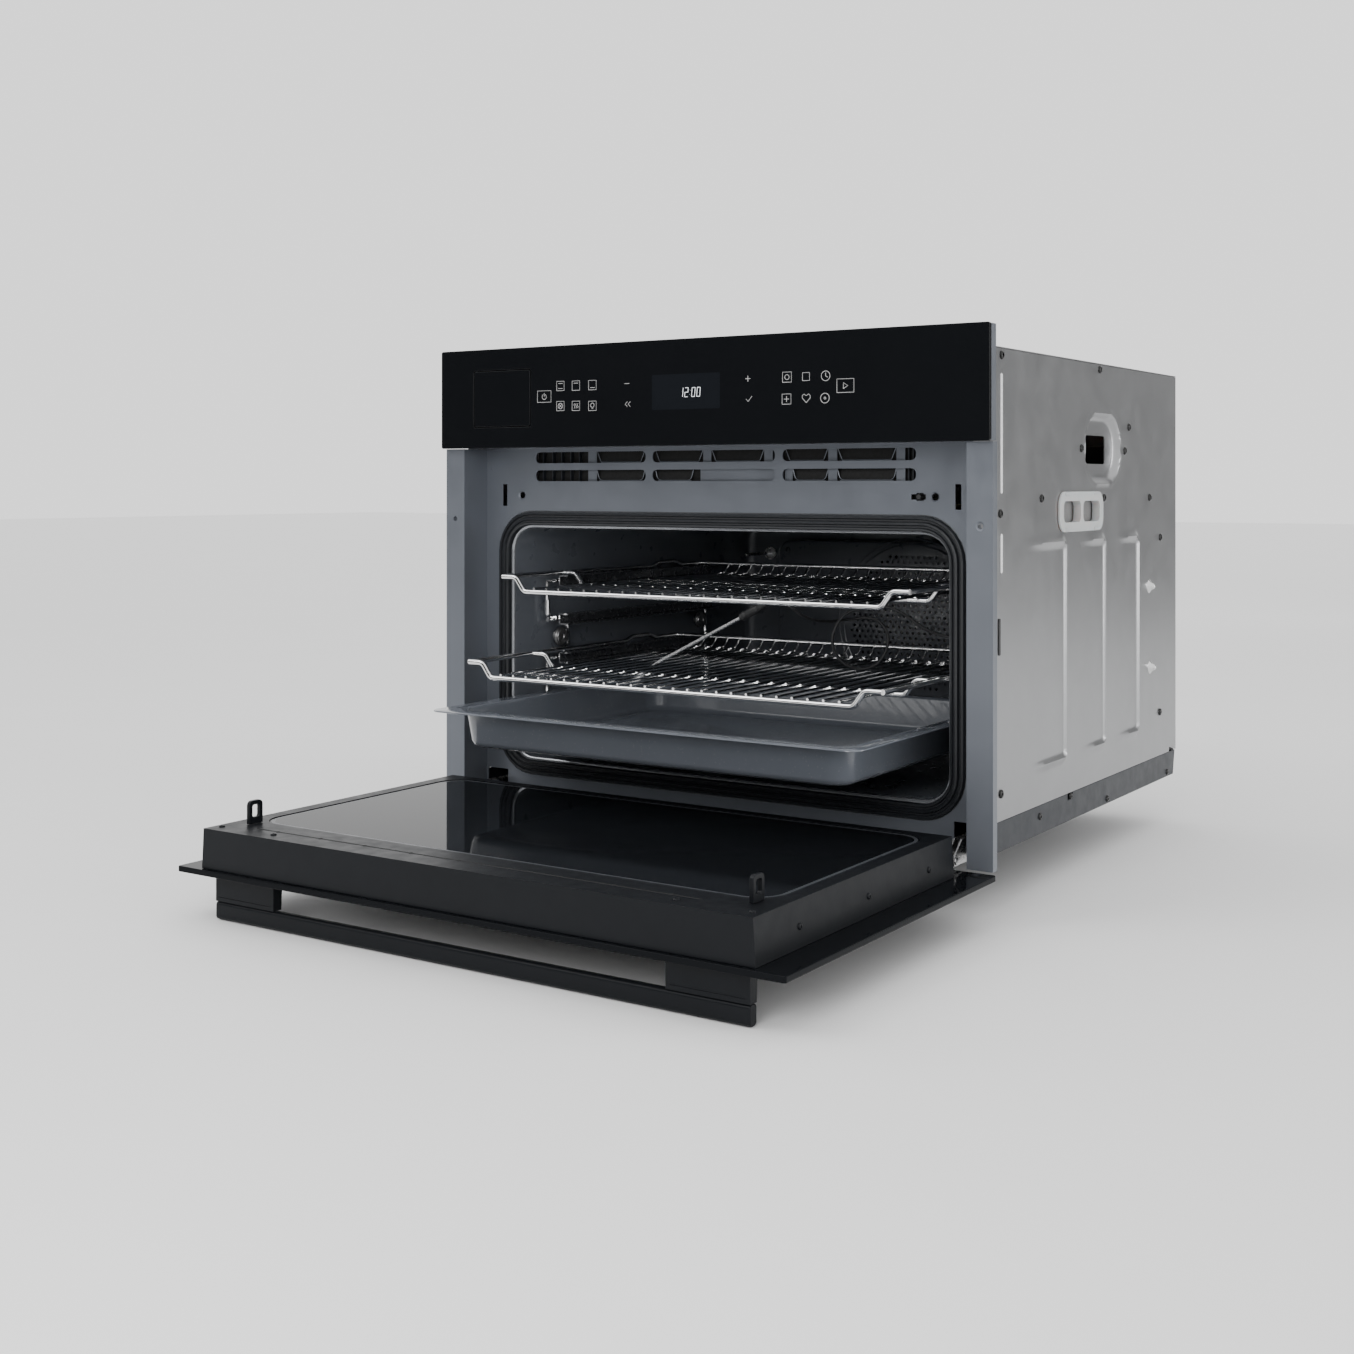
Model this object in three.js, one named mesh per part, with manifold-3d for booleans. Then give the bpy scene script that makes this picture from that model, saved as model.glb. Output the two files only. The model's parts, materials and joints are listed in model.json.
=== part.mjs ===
// Compact built-in wall oven with a drop-down door, two wire racks, a baking tray,
// a meat probe, a water tank behind the control panel and the parts that drive it.
// Millimetres, +X to the right, +Y to the back, +Z up. The origin is the middle of
// the underside of the base. The door is shown open and the shelves pulled out.
import * as THREE from 'three';
import { mergeVertices } from 'three/addons/utils/BufferGeometryUtils.js';
import Module from 'manifold-3d';

const wasm = await Module();
wasm.setup();

// ---- Driving dimensions ----
// Front
const frontWidth = 595;
const frontHeight = 455;
const frontDrop = 3;            // front reaches this far below the base
const frontProud = 16;          // glass faces ahead of the cabinet front
const panelHeight = 98.2;       // control panel
const doorGap = 3.8;            // slit between control panel and closed door
const recessDepth = 43.5;       // glass plane to the recessed face
const frameSheet = 1.2;
const flangeDepth = 8.5;

// Housing
const housingWidth = 552;
const housingHeight = 437;
const housingDepth = 547;
const casingSheet = 1;
const baseHeight = 26;
const rearSlope = 9;            // how far the rear foot of the casing leans in
const rearSlopeHeight = 40;

// Cavity
const cavityWidth = 480;
const cavityFloor = 43;
const cavityDrop = 79.8;        // cavity ceiling below the control panel
const cavityDepth = 461.5;      // recessed face to the rear wall
const cavityRadius = 24;
const cavitySheet = 1.2;
const sealWidth = 15;
const sealProud = 4;
const insulationGap = 21;

// Shelf levels
const levelPitch = 40;
const lowestLevel = 60.4;       // lowest guide above the cavity floor
const railWidth = 12;
const railHeight = 12;
const railLength = 296;
const railStart = 62.5;         // behind the recessed face
const wireRadius = 2.2;

// Racks and tray
const rackClear = 18;           // side wires to the cavity walls
const rackDepth = 362;
const rackLap = 4.8;            // guides reach this far inside the side wires
const rackDrop = 14;            // grid below the side wires
const rackWire = 2.6;
const gridWire = 1.4;
const gridInset = 39.6;         // outermost grid wires from the side wires
const gridCount = 25;
const trayLap = 9.8;            // tray edge lying on the guides, each side
const trayDepth = 362;
const trayRim = 1.4;
const traySink = 36;
const upperPull = 45;           // how far each shelf stands out
const lowerPull = 96;
const trayPull = 151;
const shelfIn = 7.5;            // front of a pushed-in shelf behind the recessed face

// Door
const hingeBack = 12.4;         // hinge axis behind the glass plane
const hingeUp = 4.2;            // hinge axis above the bottom of the front
const doorAngle = 90;           // shown fully open
const doorGlass = 5;
const doorBoxFace = 26.6;       // inner face behind the hinge axis
const doorBoxFoot = 26.4;       // box bottom above the hinge axis
const doorBoxDrop = 4.4;        // box head below the top edge of the door glass
const doorBoxSide = 1.5;        // box to each recess wall
const doorFlare = 2;            // box is this much wider at the glass, each side
const doorSheet = 1.5;
const paneThickness = 4;
const hookReach = 20;
const hookHeight = 15;
const hookInset = 23.5;         // latch hooks from the recess walls
const hookDrop = 38.6;          // latch hooks below the box head
const hingeInset = 15.5;        // hinge arms from the recess walls
const pinRadius = 2.5;

// Handle
const handleHalf = 263.3;
const handleDrop = 11.8;        // below the top edge of the door glass
const handleThick = 8;
const handleReach = 50.7;       // front of the bar ahead of the hinge axis
const handleBarDepth = 15.3;
const bracketWidth = 69;

// Water tank
const tankInset = 56;           // tank centre from the casing's left side
const tankDrop = 49.4;          // tank centre below the top of the front
const tankFrontWidth = 71;
const tankFrontHeight = 55;
const tankWall = 1.6;
const tankLength = 286;

// Clearances
const gap = 0.3;                // between pieces that touch
const slide = 0.8;              // round a piece that slides
const turn = 1;                 // round a piece that turns

// ---- Places worked out from them ----
const half = frontWidth / 2;
const yCabinet = -housingDepth / 2;
const yRear = housingDepth / 2;
const yGlass = yCabinet - frontProud;
const yRecess = yGlass + recessDepth;
const yFlange = yCabinet - flangeDepth;
const yBehind = yRecess + frameSheet + gap;      // first free plane behind the front frame
const zFront = -frontDrop;
const zTop = zFront + frontHeight;
const zPanel = zTop - panelHeight;
const tankLevel = zTop - tankDrop;
const sideIn = housingWidth / 2 - casingSheet;
const tankCentre = tankInset - sideIn;
const recessWall = sideIn - gap - frameSheet;    // half width between the recess walls
const zUnderCover = housingHeight - casingSheet - gap;
const cavityHalf = cavityWidth / 2;
const cavityTop = zPanel - cavityDrop;
const cavityMid = (cavityFloor + cavityTop) / 2;
const yCavityRear = yRecess + cavityDepth;
const yHinge = yGlass + hingeBack;
const zHinge = zFront + hingeUp;
const doorTopEdge = zPanel - doorGap - zHinge;   // from here on, door heights are above the hinge axis
const doorBoxHead = doorTopEdge - doorBoxDrop;
const doorBoxHalf = recessWall - doorBoxSide - doorFlare;
const hookPlace = recessWall - hookInset;
const hookLevel = doorBoxHead - hookDrop;
const hingePlace = recessWall - hingeInset;
const handleTop = doorTopEdge - handleDrop;
const yShelfIn = yRecess + shelfIn;
const rackHalf = cavityHalf - rackClear;
const gridPitch = 2 * (rackHalf - gridInset) / (gridCount - 1);
const railInside = rackHalf - rackLap;
const trayHalf = railInside + trayLap;
const ladderX = railInside + railWidth + 3.3;    // upright wires of the ladders
const yRail = yRecess + railStart;
const railTop = (level) => cavityFloor + lowestLevel + level * levelPitch;

// ---- Materials ----
function finish(color, roughness, metalness) {
  return new THREE.MeshStandardMaterial({ color, roughness, metalness });
}
const zinc = finish(0x8f9396, 0.42, 0.8);
const frameSteel = finish(0x8d919c, 0.4, 0.6);
const darkSteel = finish(0x474b57, 0.45, 0.6);
const enamel = finish(0x2c3039, 0.35, 0.1);
const trayEnamel = finish(0x6c6f7c, 0.35, 0.1);
const chrome = finish(0xd6d8dc, 0.15, 1);
const brightSteel = finish(0xb4b7bb, 0.3, 0.9);
const blackGlass = finish(0x0b0b0d, 0.06, 0);
const blackPaint = finish(0x1a1a1e, 0.45, 0);
const blackPlastic = finish(0x1d1e22, 0.55, 0);
const greyPlastic = finish(0x9b9ea2, 0.5, 0);
const clearPlastic = finish(0xc4d2dc, 0.2, 0);
const silicone = finish(0x202329, 0.7, 0);
const wool = finish(0xc9bf9c, 0.95, 0);
const circuit = finish(0x1f5a3a, 0.6, 0);
const ceramic = finish(0xe4e2da, 0.5, 0);

// ---- Solids ----
function solid(geometry) {
  const bare = geometry.clone();
  bare.deleteAttribute('normal');
  bare.deleteAttribute('uv');
  const merged = mergeVertices(bare, 1e-4);
  const vertProperties = new Float32Array(merged.attributes.position.array);
  const triVerts = new Uint32Array(merged.index.array);
  return new wasm.Manifold(new wasm.Mesh({ numProp: 3, vertProperties, triVerts }));
}

function geometryOf(body) {
  const mesh = body.getMesh();
  const geometry = new THREE.BufferGeometry();
  geometry.setAttribute('position', new THREE.BufferAttribute(mesh.vertProperties, 3));
  geometry.setIndex(new THREE.BufferAttribute(mesh.triVerts, 1));
  geometry.computeVertexNormals();
  return geometry;
}

function cut(geometry, ...tools) {
  return geometryOf(tools.reduce((body, tool) => body.subtract(solid(tool)), solid(geometry)));
}

function join(geometry, ...others) {
  return geometryOf(others.reduce((body, other) => body.add(solid(other)), solid(geometry)));
}

// A block from its low and high limits along X, Y and Z.
function block([x0, x1], [y0, y1], [z0, z1]) {
  const geometry = new THREE.BoxGeometry(x1 - x0, y1 - y0, z1 - z0);
  return geometry.translate((x0 + x1) / 2, (y0 + y1) / 2, (z0 + z1) / 2);
}

// A block about a centre line in X.
function midBlock(halfWidth, y, z) {
  return block([-halfWidth, halfWidth], y, z);
}

// An outline in X and Z with rounded corners.
function roundedOutline([x0, x1], [z0, z1], radius) {
  const shape = new THREE.Shape();
  const quarter = Math.PI / 2;
  shape.absarc(x1 - radius, z1 - radius, radius, 0, quarter);
  shape.absarc(x0 + radius, z1 - radius, radius, quarter, 2 * quarter);
  shape.absarc(x0 + radius, z0 + radius, radius, 2 * quarter, 3 * quarter);
  shape.absarc(x1 - radius, z0 + radius, radius, 3 * quarter, 4 * quarter);
  return shape;
}

function extrude(shape, depth, curveSegments) {
  return new THREE.ExtrudeGeometry(shape, { depth, bevelEnabled: false, curveSegments });
}

// An X-Z outline given its thickness along Y.
function slab(shape, [y0, y1], curveSegments = 5) {
  return extrude(shape, y1 - y0, curveSegments).rotateX(Math.PI / 2).translate(0, y1, 0);
}

// A Y-Z outline given its width along X.
const towardsX = new THREE.Matrix4().makeBasis(
  new THREE.Vector3(0, 1, 0), new THREE.Vector3(0, 0, 1), new THREE.Vector3(1, 0, 0));
function section(shape, [x0, x1], curveSegments = 5) {
  return extrude(shape, x1 - x0, curveSegments).applyMatrix4(towardsX).translate(x0, 0, 0);
}

function polygon(points) {
  return new THREE.Shape(points.map(([u, v]) => new THREE.Vector2(u, v)));
}

// A round bar between two points.
const yAxis = new THREE.Vector3(0, 1, 0);
function rod(from, to, radius, sides = 6) {
  const start = new THREE.Vector3(...from);
  const along = new THREE.Vector3(...to).sub(start);
  const geometry = new THREE.CylinderGeometry(radius, radius, along.length(), sides);
  const turned = new THREE.Quaternion().setFromUnitVectors(yAxis, along.clone().normalize());
  geometry.applyQuaternion(turned);
  return geometry.translate(...start.addScaledVector(along, 0.5).toArray());
}

// A square bar between two points, standing for a round wire of this radius.
function bar(from, to, radius, overrun = 0) {
  const width = radius * Math.sqrt(Math.PI);
  const start = new THREE.Vector3(...from);
  const along = new THREE.Vector3(...to).sub(start);
  const geometry = new THREE.BoxGeometry(width, along.length() + 2 * overrun, width);
  geometry.applyQuaternion(new THREE.Quaternion().setFromUnitVectors(yAxis, along.clone().normalize()));
  return geometry.translate(...start.addScaledVector(along, 0.5).toArray());
}

// A bent wire: bars from point to point, run on a little so that they meet at each bend.
function wire(points, radius) {
  return points.slice(1).map((point, i) => bar(points[i], point, radius, radius * 0.6));
}

function ring(outer, inner, depth, sides = 16) {
  const shape = new THREE.Shape().absarc(0, 0, outer, 0, 2 * Math.PI);
  shape.holes.push(new THREE.Path().absarc(0, 0, inner, 0, 2 * Math.PI));
  return new THREE.ExtrudeGeometry(shape, { depth, bevelEnabled: false, curveSegments: sides });
}

function piece(name, geometry, material) {
  const mesh = new THREE.Mesh(geometry, material);
  mesh.name = name;
  return mesh;
}

const sides = [['left', -1], ['right', 1]];

// The same limits on the left or on the right of the middle.
function across(side, inner, outer) {
  return side > 0 ? [inner, outer] : [-outer, -inner];
}

// ---- Casing ----
const sidePanelFoot = baseHeight + gap;
const yRearAt = (z) => yRear - casingSheet - rearSlope * (1 - z / rearSlopeHeight);
const gripHole = { y: [yCabinet + 264, yCabinet + 336], z: [338, 366] };
const grommetHole = { y: [yCabinet + 196.5, yCabinet + 305.5], z: [277, 307] };
const grommetSide = 1;

function sidePanel(side) {
  const outline = polygon([
    [yCabinet + gap, sidePanelFoot],
    [yRearAt(sidePanelFoot) + casingSheet, sidePanelFoot],
    [yRear, rearSlopeHeight],
    [yRear, zUnderCover],
    [yCabinet + gap, zUnderCover],
  ]);
  const sheet = section(outline, across(side, sideIn, sideIn + casingSheet));
  const reach = across(side, sideIn - 1, sideIn + 2);
  const holes = [block(reach, gripHole.y, gripHole.z)];
  if (side === grommetSide) holes.push(block(reach, grommetHole.y, grommetHole.z));
  return cut(sheet, ...holes);
}

function basePan() {
  const outside = polygon([
    [yCabinet + gap, 0],
    [yRearAt(0) + casingSheet, 0],
    [yRearAt(baseHeight) + casingSheet, baseHeight],
    [yCabinet + gap, baseHeight],
  ]);
  const inside = polygon([
    [yBehind, casingSheet],
    [yRearAt(casingSheet), casingSheet],
    [yRearAt(baseHeight + 1), baseHeight + 1],
    [yBehind, baseHeight + 1],
  ]);
  const pan = section(outside, [-sideIn - casingSheet, sideIn + casingSheet]);
  const footwell = midBlock(sideIn, [yCabinet - 1, yBehind + 1], [-1, baseHeight + 1]);
  return cut(pan, section(inside, [-sideIn, sideIn]), footwell);
}

const slotPitch = 24;
function slots(count, halfLength, y, zLow) {
  const holes = [];
  for (let i = 0; i < count; i += 1) {
    const x = (i - (count - 1) / 2) * slotPitch;
    holes.push(block([x - halfLength, x + halfLength], y, zLow));
  }
  return holes;
}

function topCover() {
  const z = [housingHeight - casingSheet, housingHeight];
  const sheet = midBlock(sideIn + casingSheet, [yCabinet + gap, yRear], z);
  return cut(sheet, ...slots(8, 4, [yRear - 103.5, yRear - 43.5], [z[0] - 1, z[1] + 1]));
}

const terminalPlace = { x: [150, 230], z: [360, 410] };
function rearPanel() {
  const y = [yRear - casingSheet, yRear];
  const z = [rearSlopeHeight + gap, zUnderCover];
  const sheet = midBlock(sideIn - gap, y, z);
  const reach = [y[0] - 1, y[1] + 1];
  const { x: [x0, x1], z: [z0, z1] } = terminalPlace;
  const terminalHole = block([x0 + 5, x1 - 5], reach, [z0 + 5, z1 - 5]);
  return cut(sheet, terminalHole, ...slots(8, 4, reach, [70, 120]));
}

// A plastic surround clipped into the side, with two windows.
function sideGrommet(side) {
  const [y0, y1] = grommetHole.y;
  const [z0, z1] = grommetHole.z;
  const rim = section(roundedOutline([y0 - 4, y1 + 4], [z0 - 4, z1 + 4], 13), across(side, 0, 2));
  const neck = section(roundedOutline([y0 + gap, y1 - gap], [z0 + gap, z1 - gap], 10), across(side, -6, 0.5));
  const middle = (y0 + y1) / 2;
  const windows = [[y0 + 6, middle - 3], [middle + 3, y1 - 6]].map(([a, b]) =>
    section(roundedOutline([a, b], [z0 + 5, z1 - 5], 6), [-8, 4].map((x) => x * side).sort((p, q) => p - q)));
  const shape = cut(join(rim, neck), ...windows);
  return shape.translate(side * (sideIn + casingSheet + gap), 0, 0);
}

// ---- Front ----
const mouthMargin = 17.5;        // seal pocket round the cavity mouth
const ventRows = [[zPanel - 32.8, zPanel - 21.8], [zPanel - 14.8, zPanel - 3.8]];
const ventGroups = [[-210, -76], [-68, 68], [76, 210]];
const slotLevel = zHinge + hookLevel;
const lockHole = { x: hookPlace - 22, radius: 2.7 };
const flangeHole = { z: 283, radius: 2.6 };
const flangeStep = 0.5;          // the flange back beside the casing is set in by this

function cavityOutline(grow) {
  return roundedOutline(
    [-cavityHalf - grow, cavityHalf + grow],
    [cavityFloor - grow, cavityTop + grow],
    Math.max(cavityRadius + grow, 4));
}

function frontFrame() {
  const face = slab(polygon([
    [-recessWall - frameSheet, zFront],
    [recessWall + frameSheet, zFront],
    [recessWall + frameSheet, zUnderCover],
    [-recessWall - frameSheet, zUnderCover],
  ]), [yRecess, yRecess + frameSheet]);
  const walls = sides.map(([, side]) =>
    block(across(side, recessWall, recessWall + frameSheet), [yFlange, yRecess + frameSheet],
      [zFront, zPanel - gap]));
  const flanges = sides.map(([, side]) =>
    block(across(side, recessWall, half - gap), [yFlange, yCabinet], [zFront, zPanel - gap]));
  const through = [yRecess - 5, yRecess + 5];
  const openings = [slab(cavityOutline(mouthMargin), through)];
  for (const row of ventRows) {
    for (const group of ventGroups) {
      openings.push(slab(roundedOutline(group, row, 4.5), through, 2));
    }
  }
  for (const [, side] of sides) {
    openings.push(block(across(side, hookPlace - 2.8, hookPlace + 2.8), through,
      [slotLevel - 11, slotLevel + 11]));
    openings.push(block(across(side, hingePlace - 12, hingePlace + 14), through, [zFront - 1, 28]));
    openings.push(rod([side * lockHole.x, through[0], slotLevel], [side * lockHole.x, through[1], slotLevel],
      lockHole.radius, 10));
    const x = side * (recessWall + half) / 2;
    openings.push(block(across(side, recessWall + frameSheet, sideIn + casingSheet + 4),
      [yCabinet - flangeStep, yCabinet + 1], [zFront - 1, zPanel]));
    openings.push(rod([x, yFlange - 1, flangeHole.z], [x, yCabinet + 1, flangeHole.z],
      flangeHole.radius, 10));
  }
  openings.push(block([plungerX - 3.4, plungerX + 3.4], through, [slotLevel - 3.4, slotLevel + 3.4]));
  const tankWindow = tankSpace(slide + tankWall + gap);
  openings.push(block(tankWindow.x, through, tankWindow.z));
  return cut(join(face, ...walls, ...flanges), ...openings);
}

// Limits of the water tank's path, grown by a margin.
function tankSpace(margin) {
  const w = tankFrontWidth / 2 - 4 + margin;
  const h = tankFrontHeight / 2 - 4 + margin;
  return { x: [tankCentre - w, tankCentre + w], z: [tankLevel - h, tankLevel + h] };
}

function tankFrontOutline(grow) {
  const w = tankFrontWidth / 2 + grow;
  const h = tankFrontHeight / 2 + grow;
  return roundedOutline([tankCentre - w, tankCentre + w], [tankLevel - h, tankLevel + h], 2);
}

const panelGlass = 4;
function controlGlass() {
  const sheet = slab(roundedOutline([-half, half], [zPanel, zTop], 2), [yGlass, yGlass + panelGlass], 2);
  const window = slab(tankFrontOutline(slide), [yGlass - 1, yGlass + panelGlass + 1], 2);
  return cut(sheet, window);
}

const boardBay = { x: [tankCentre + 51.5, sideIn - 20], z: [zPanel + 14, zTop - 14] };
function controlCarrier() {
  const y = [yGlass + panelGlass + gap, yCabinet];
  const body = midBlock(half - 1, y, [zPanel + 0.5, zTop - 0.5]);
  const deep = midBlock(recessWall - 2, [y[1] - 1, yRecess - gap], [zPanel + 0.5, zUnderCover]);
  const inner = midBlock(recessWall - 5, [y[0] + 9, yRecess + 5], [zPanel + 4, zUnderCover - 3]);
  const bay = block(boardBay.x, [y[0] + 2, y[1] + 5], boardBay.z);
  const window = slab(tankFrontOutline(slide), [y[0] - 1, yRecess + 1], 2);
  return cut(join(body, deep), inner, bay, window);
}

function controlBoard() {
  const y = yGlass + panelGlass + gap + 4;
  return block([boardBay.x[0] + 2, boardBay.x[1] - 2], [y, y + 1.6], [boardBay.z[0] + 2, boardBay.z[1] - 2]);
}

// ---- Water tank ----
const yTank = yGlass + panelGlass + gap;
function tankFront() {
  const front = slab(tankFrontOutline(0), [yGlass, yTank], 2);
  const { x, z } = tankSpace(0);
  return join(front, block(x, [yTank - 1, yTank + 3], z));
}

function waterTank() {
  const { x, z } = tankSpace(0);
  const y = [yTank + 3 + gap, yTank + 3 + tankLength];
  const outside = block(x, y, [z[0], z[1] - 3]);
  const inside = block([x[0] + tankWall, x[1] - tankWall], [y[0] + tankWall, y[1] - tankWall],
    [z[0] + tankWall, z[1]]);
  return cut(outside, inside);
}

function tankLid() {
  const { x, z } = tankSpace(0);
  const y = [yTank + 3 + gap, yTank + 3 + tankLength];
  const lid = block(x, y, [z[1] - 3 + gap, z[1]]);
  const filler = block([tankCentre - 14, tankCentre + 14], [y[0] + 12, y[0] + 46], [z[1] - 5, z[1] + 1]);
  return cut(lid, filler);
}

function tankSleeve() {
  const inner = tankSpace(slide);
  const outer = tankSpace(slide + tankWall);
  const y = [yRecess - 2, yTank + 3 + tankLength + 6];
  return cut(block(outer.x, y, outer.z), block(inner.x, [y[0] - 1, y[1] - tankWall], inner.z));
}

// ---- Cavity ----
const fanPlace = { x: 0, z: cavityMid };
const shaftRadius = 4;
const sensorPlace = { x: 34.4 - cavityHalf, z: cavityTop - 40.5 };
const steamPlace = { x: cavityHalf - 42, z: cavityTop - 48 };
const probePlace = { y: yRecess + 140, z: cavityFloor + 116 };
const lampPlace = { x: 0, y: yRecess + 396 };
const yLiner = [yBehind, yCavityRear + cavitySheet];

function cavityLiner() {
  const tube = slab(cavityOutline(cavitySheet), yLiner);
  const lip = slab(cavityOutline(mouthMargin + 7), [yBehind, yBehind + cavitySheet]);
  const hollow = slab(cavityOutline(0), [yBehind - 1, yCavityRear]);
  const rear = [yCavityRear - 3, yCavityRear + 5];
  const holes = [
    rod([fanPlace.x, rear[0], fanPlace.z], [fanPlace.x, rear[1], fanPlace.z], shaftRadius + turn, 12),
    rod([sensorPlace.x, rear[0], sensorPlace.z], [sensorPlace.x, rear[1], sensorPlace.z], 3.5, 8),
    rod([steamPlace.x, rear[0], steamPlace.z], [steamPlace.x, rear[1], steamPlace.z], 5.5, 8),
    rod([cavityHalf - 3, probePlace.y, probePlace.z], [cavityHalf + 5, probePlace.y, probePlace.z], 6, 8),
    rod([lampPlace.x, lampPlace.y, cavityTop - 3], [lampPlace.x, lampPlace.y, cavityTop + 5], 22, 14),
  ];
  return cut(join(tube, lip), hollow, ...holes);
}

function cavitySeal() {
  const y = [yRecess - sealProud, yBehind - gap];
  const outside = slab(cavityOutline(mouthMargin - 1), y);
  const inside = slab(cavityOutline(mouthMargin - 1 - sealWidth + 1), [y[0] - 1, y[1] + 1]);
  return cut(outside, inside);
}

function insulation() {
  const y = [yBehind + cavitySheet + 4, yCavityRear - 6];
  const outside = slab(cavityOutline(insulationGap), y, 4);
  const inside = slab(cavityOutline(cavitySheet + gap), [y[0] - 1, y[1] + 1], 4);
  const lampHole = rod([lampPlace.x, lampPlace.y, cavityTop - 5],
    [lampPlace.x, lampPlace.y, cavityTop + 40], 27, 12);
  const x = [cavityHalf - 3, cavityHalf + 40];
  const socketHole = rod([x[0], probePlace.y, probePlace.z], [x[1], probePlace.y, probePlace.z], 11, 8);
  return cut(outside, inside, lampHole, socketHole);
}

const coverHalf = cavityHalf - 62;
const coverTop = cavityTop - 23;
const coverFoot = cavityFloor + 9;
const coverDepth = 30;
const ringRadius = coverTop - fanPlace.z - 10.5;
const wheelRadius = ringRadius - 20;
function fanCover() {
  const y = [yCavityRear - coverDepth, yCavityRear - gap];
  const outside = slab(roundedOutline([-coverHalf, coverHalf], [coverFoot, coverTop], 16), y, 4);
  const w = coverHalf - cavitySheet;
  const hollow = slab(roundedOutline([-w, w], [coverFoot + cavitySheet, coverTop - cavitySheet], 15),
    [y[0] + cavitySheet, y[1] + 1], 4);
  const intake = fanPlace;
  const holes = [-30, 0, 30].map((dx) =>
    rod([intake.x + dx, y[0] - 1, intake.z], [intake.x + dx, y[0] + 3, intake.z], 12, 10));
  return cut(outside, hollow, ...holes);
}

function fanWheel() {
  const y = yCavityRear - 22;
  const hub = rod([0, y, 0], [0, y + 19, 0], 9, 12);
  const disc = rod([0, y + 15, 0], [0, y + 16.2, 0], wheelRadius, 20);
  const blades = [];
  const bladeCount = 8;
  for (let i = 0; i < bladeCount; i += 1) {
    const blade = new THREE.BoxGeometry(26, 15.5, 1.2).rotateY(0.5).translate(wheelRadius - 16, y + 7.5, 0);
    blades.push(blade.rotateY((i / bladeCount) * 2 * Math.PI));
  }
  const wheel = join(disc, hub, ...blades);
  const bore = rod([0, y - 1, 0], [0, y + 20, 0], shaftRadius + 0.1, 12);
  return cut(wheel, bore).translate(fanPlace.x, 0, fanPlace.z);
}

// The motor behind the rear wall, with the shaft that carries the wheel.
function fanMotor() {
  const y = yCavityRear + cavitySheet;
  const can = rod([0, y + 8, 0], [0, y + 46, 0], 31, 16);
  const collar = rod([0, y + 2, 0], [0, y + 9, 0], 12, 12);
  const bracket = block([-62, 62], [y + 1, y + 3], [-11, 11]);
  const shaft = rod([0, y - 21, 0], [0, y + 10, 0], shaftRadius - 0.1, 12);
  return join(can, collar, bracket, shaft).translate(fanPlace.x, 0, fanPlace.z);
}

function ringHeater() {
  const y = yCavityRear - 14;
  const torus = new THREE.TorusGeometry(ringRadius, 3.2, 6, 28).rotateX(Math.PI / 2);
  const coil = torus.translate(fanPlace.x, y, fanPlace.z);
  const legs = [-8, 8].map((dx) =>
    rod([fanPlace.x + dx, y, fanPlace.z + ringRadius - 0.5],
      [fanPlace.x + dx, yCavityRear - 1, fanPlace.z + ringRadius - 0.5], 3, 6));
  return join(coil, ...legs);
}

function cavityLamp() {
  const z = cavityTop;
  const lens = rod([lampPlace.x, lampPlace.y, z - 6], [lampPlace.x, lampPlace.y, z - gap], 26, 16);
  const neck = rod([lampPlace.x, lampPlace.y, z - 2], [lampPlace.x, lampPlace.y, z + 26], 20.5, 16);
  return join(lens, neck);
}

function temperatureSensor() {
  const { x, z } = sensorPlace;
  return join(rod([x, yCavityRear - 62, z], [x, yCavityRear + 20, z], 2.6, 8),
    rod([x, yCavityRear - 5, z], [x, yCavityRear - gap, z], 8, 12));
}

function steamInlet() {
  const { x, z } = steamPlace;
  const tube = join(rod([x, yCavityRear - 8, z], [x, yCavityRear + 24, z], 4.8, 10),
    rod([x, yCavityRear - 6, z], [x, yCavityRear - gap, z], 9, 12));
  return cut(tube, rod([x, yCavityRear - 10, z], [x, yCavityRear + 26, z], 3, 8));
}

function probeSocket() {
  const { y, z } = probePlace;
  const collar = rod([cavityHalf - 4, y, z], [cavityHalf - gap, y, z], 8.5, 12);
  const barrel = rod([cavityHalf - 1, y, z], [cavityHalf + 22, y, z], 5.5, 12);
  return cut(join(collar, barrel), rod([cavityHalf - 6, y, z], [cavityHalf + 18, y, z], 3.4, 10));
}

// ---- Shelf supports ----
const yUpright = [yRail - 15, yRail + 289];
const nutPlaces = {
  front: { y: yRail + 6.4, z: cavityFloor + 116 },
  rear: { y: yRail + 277, z: cavityFloor + 115.5 },
};
const loopTop = cavityFloor + 136;
const loopFoot = cavityFloor + 103;
const loopReach = 35;

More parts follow.
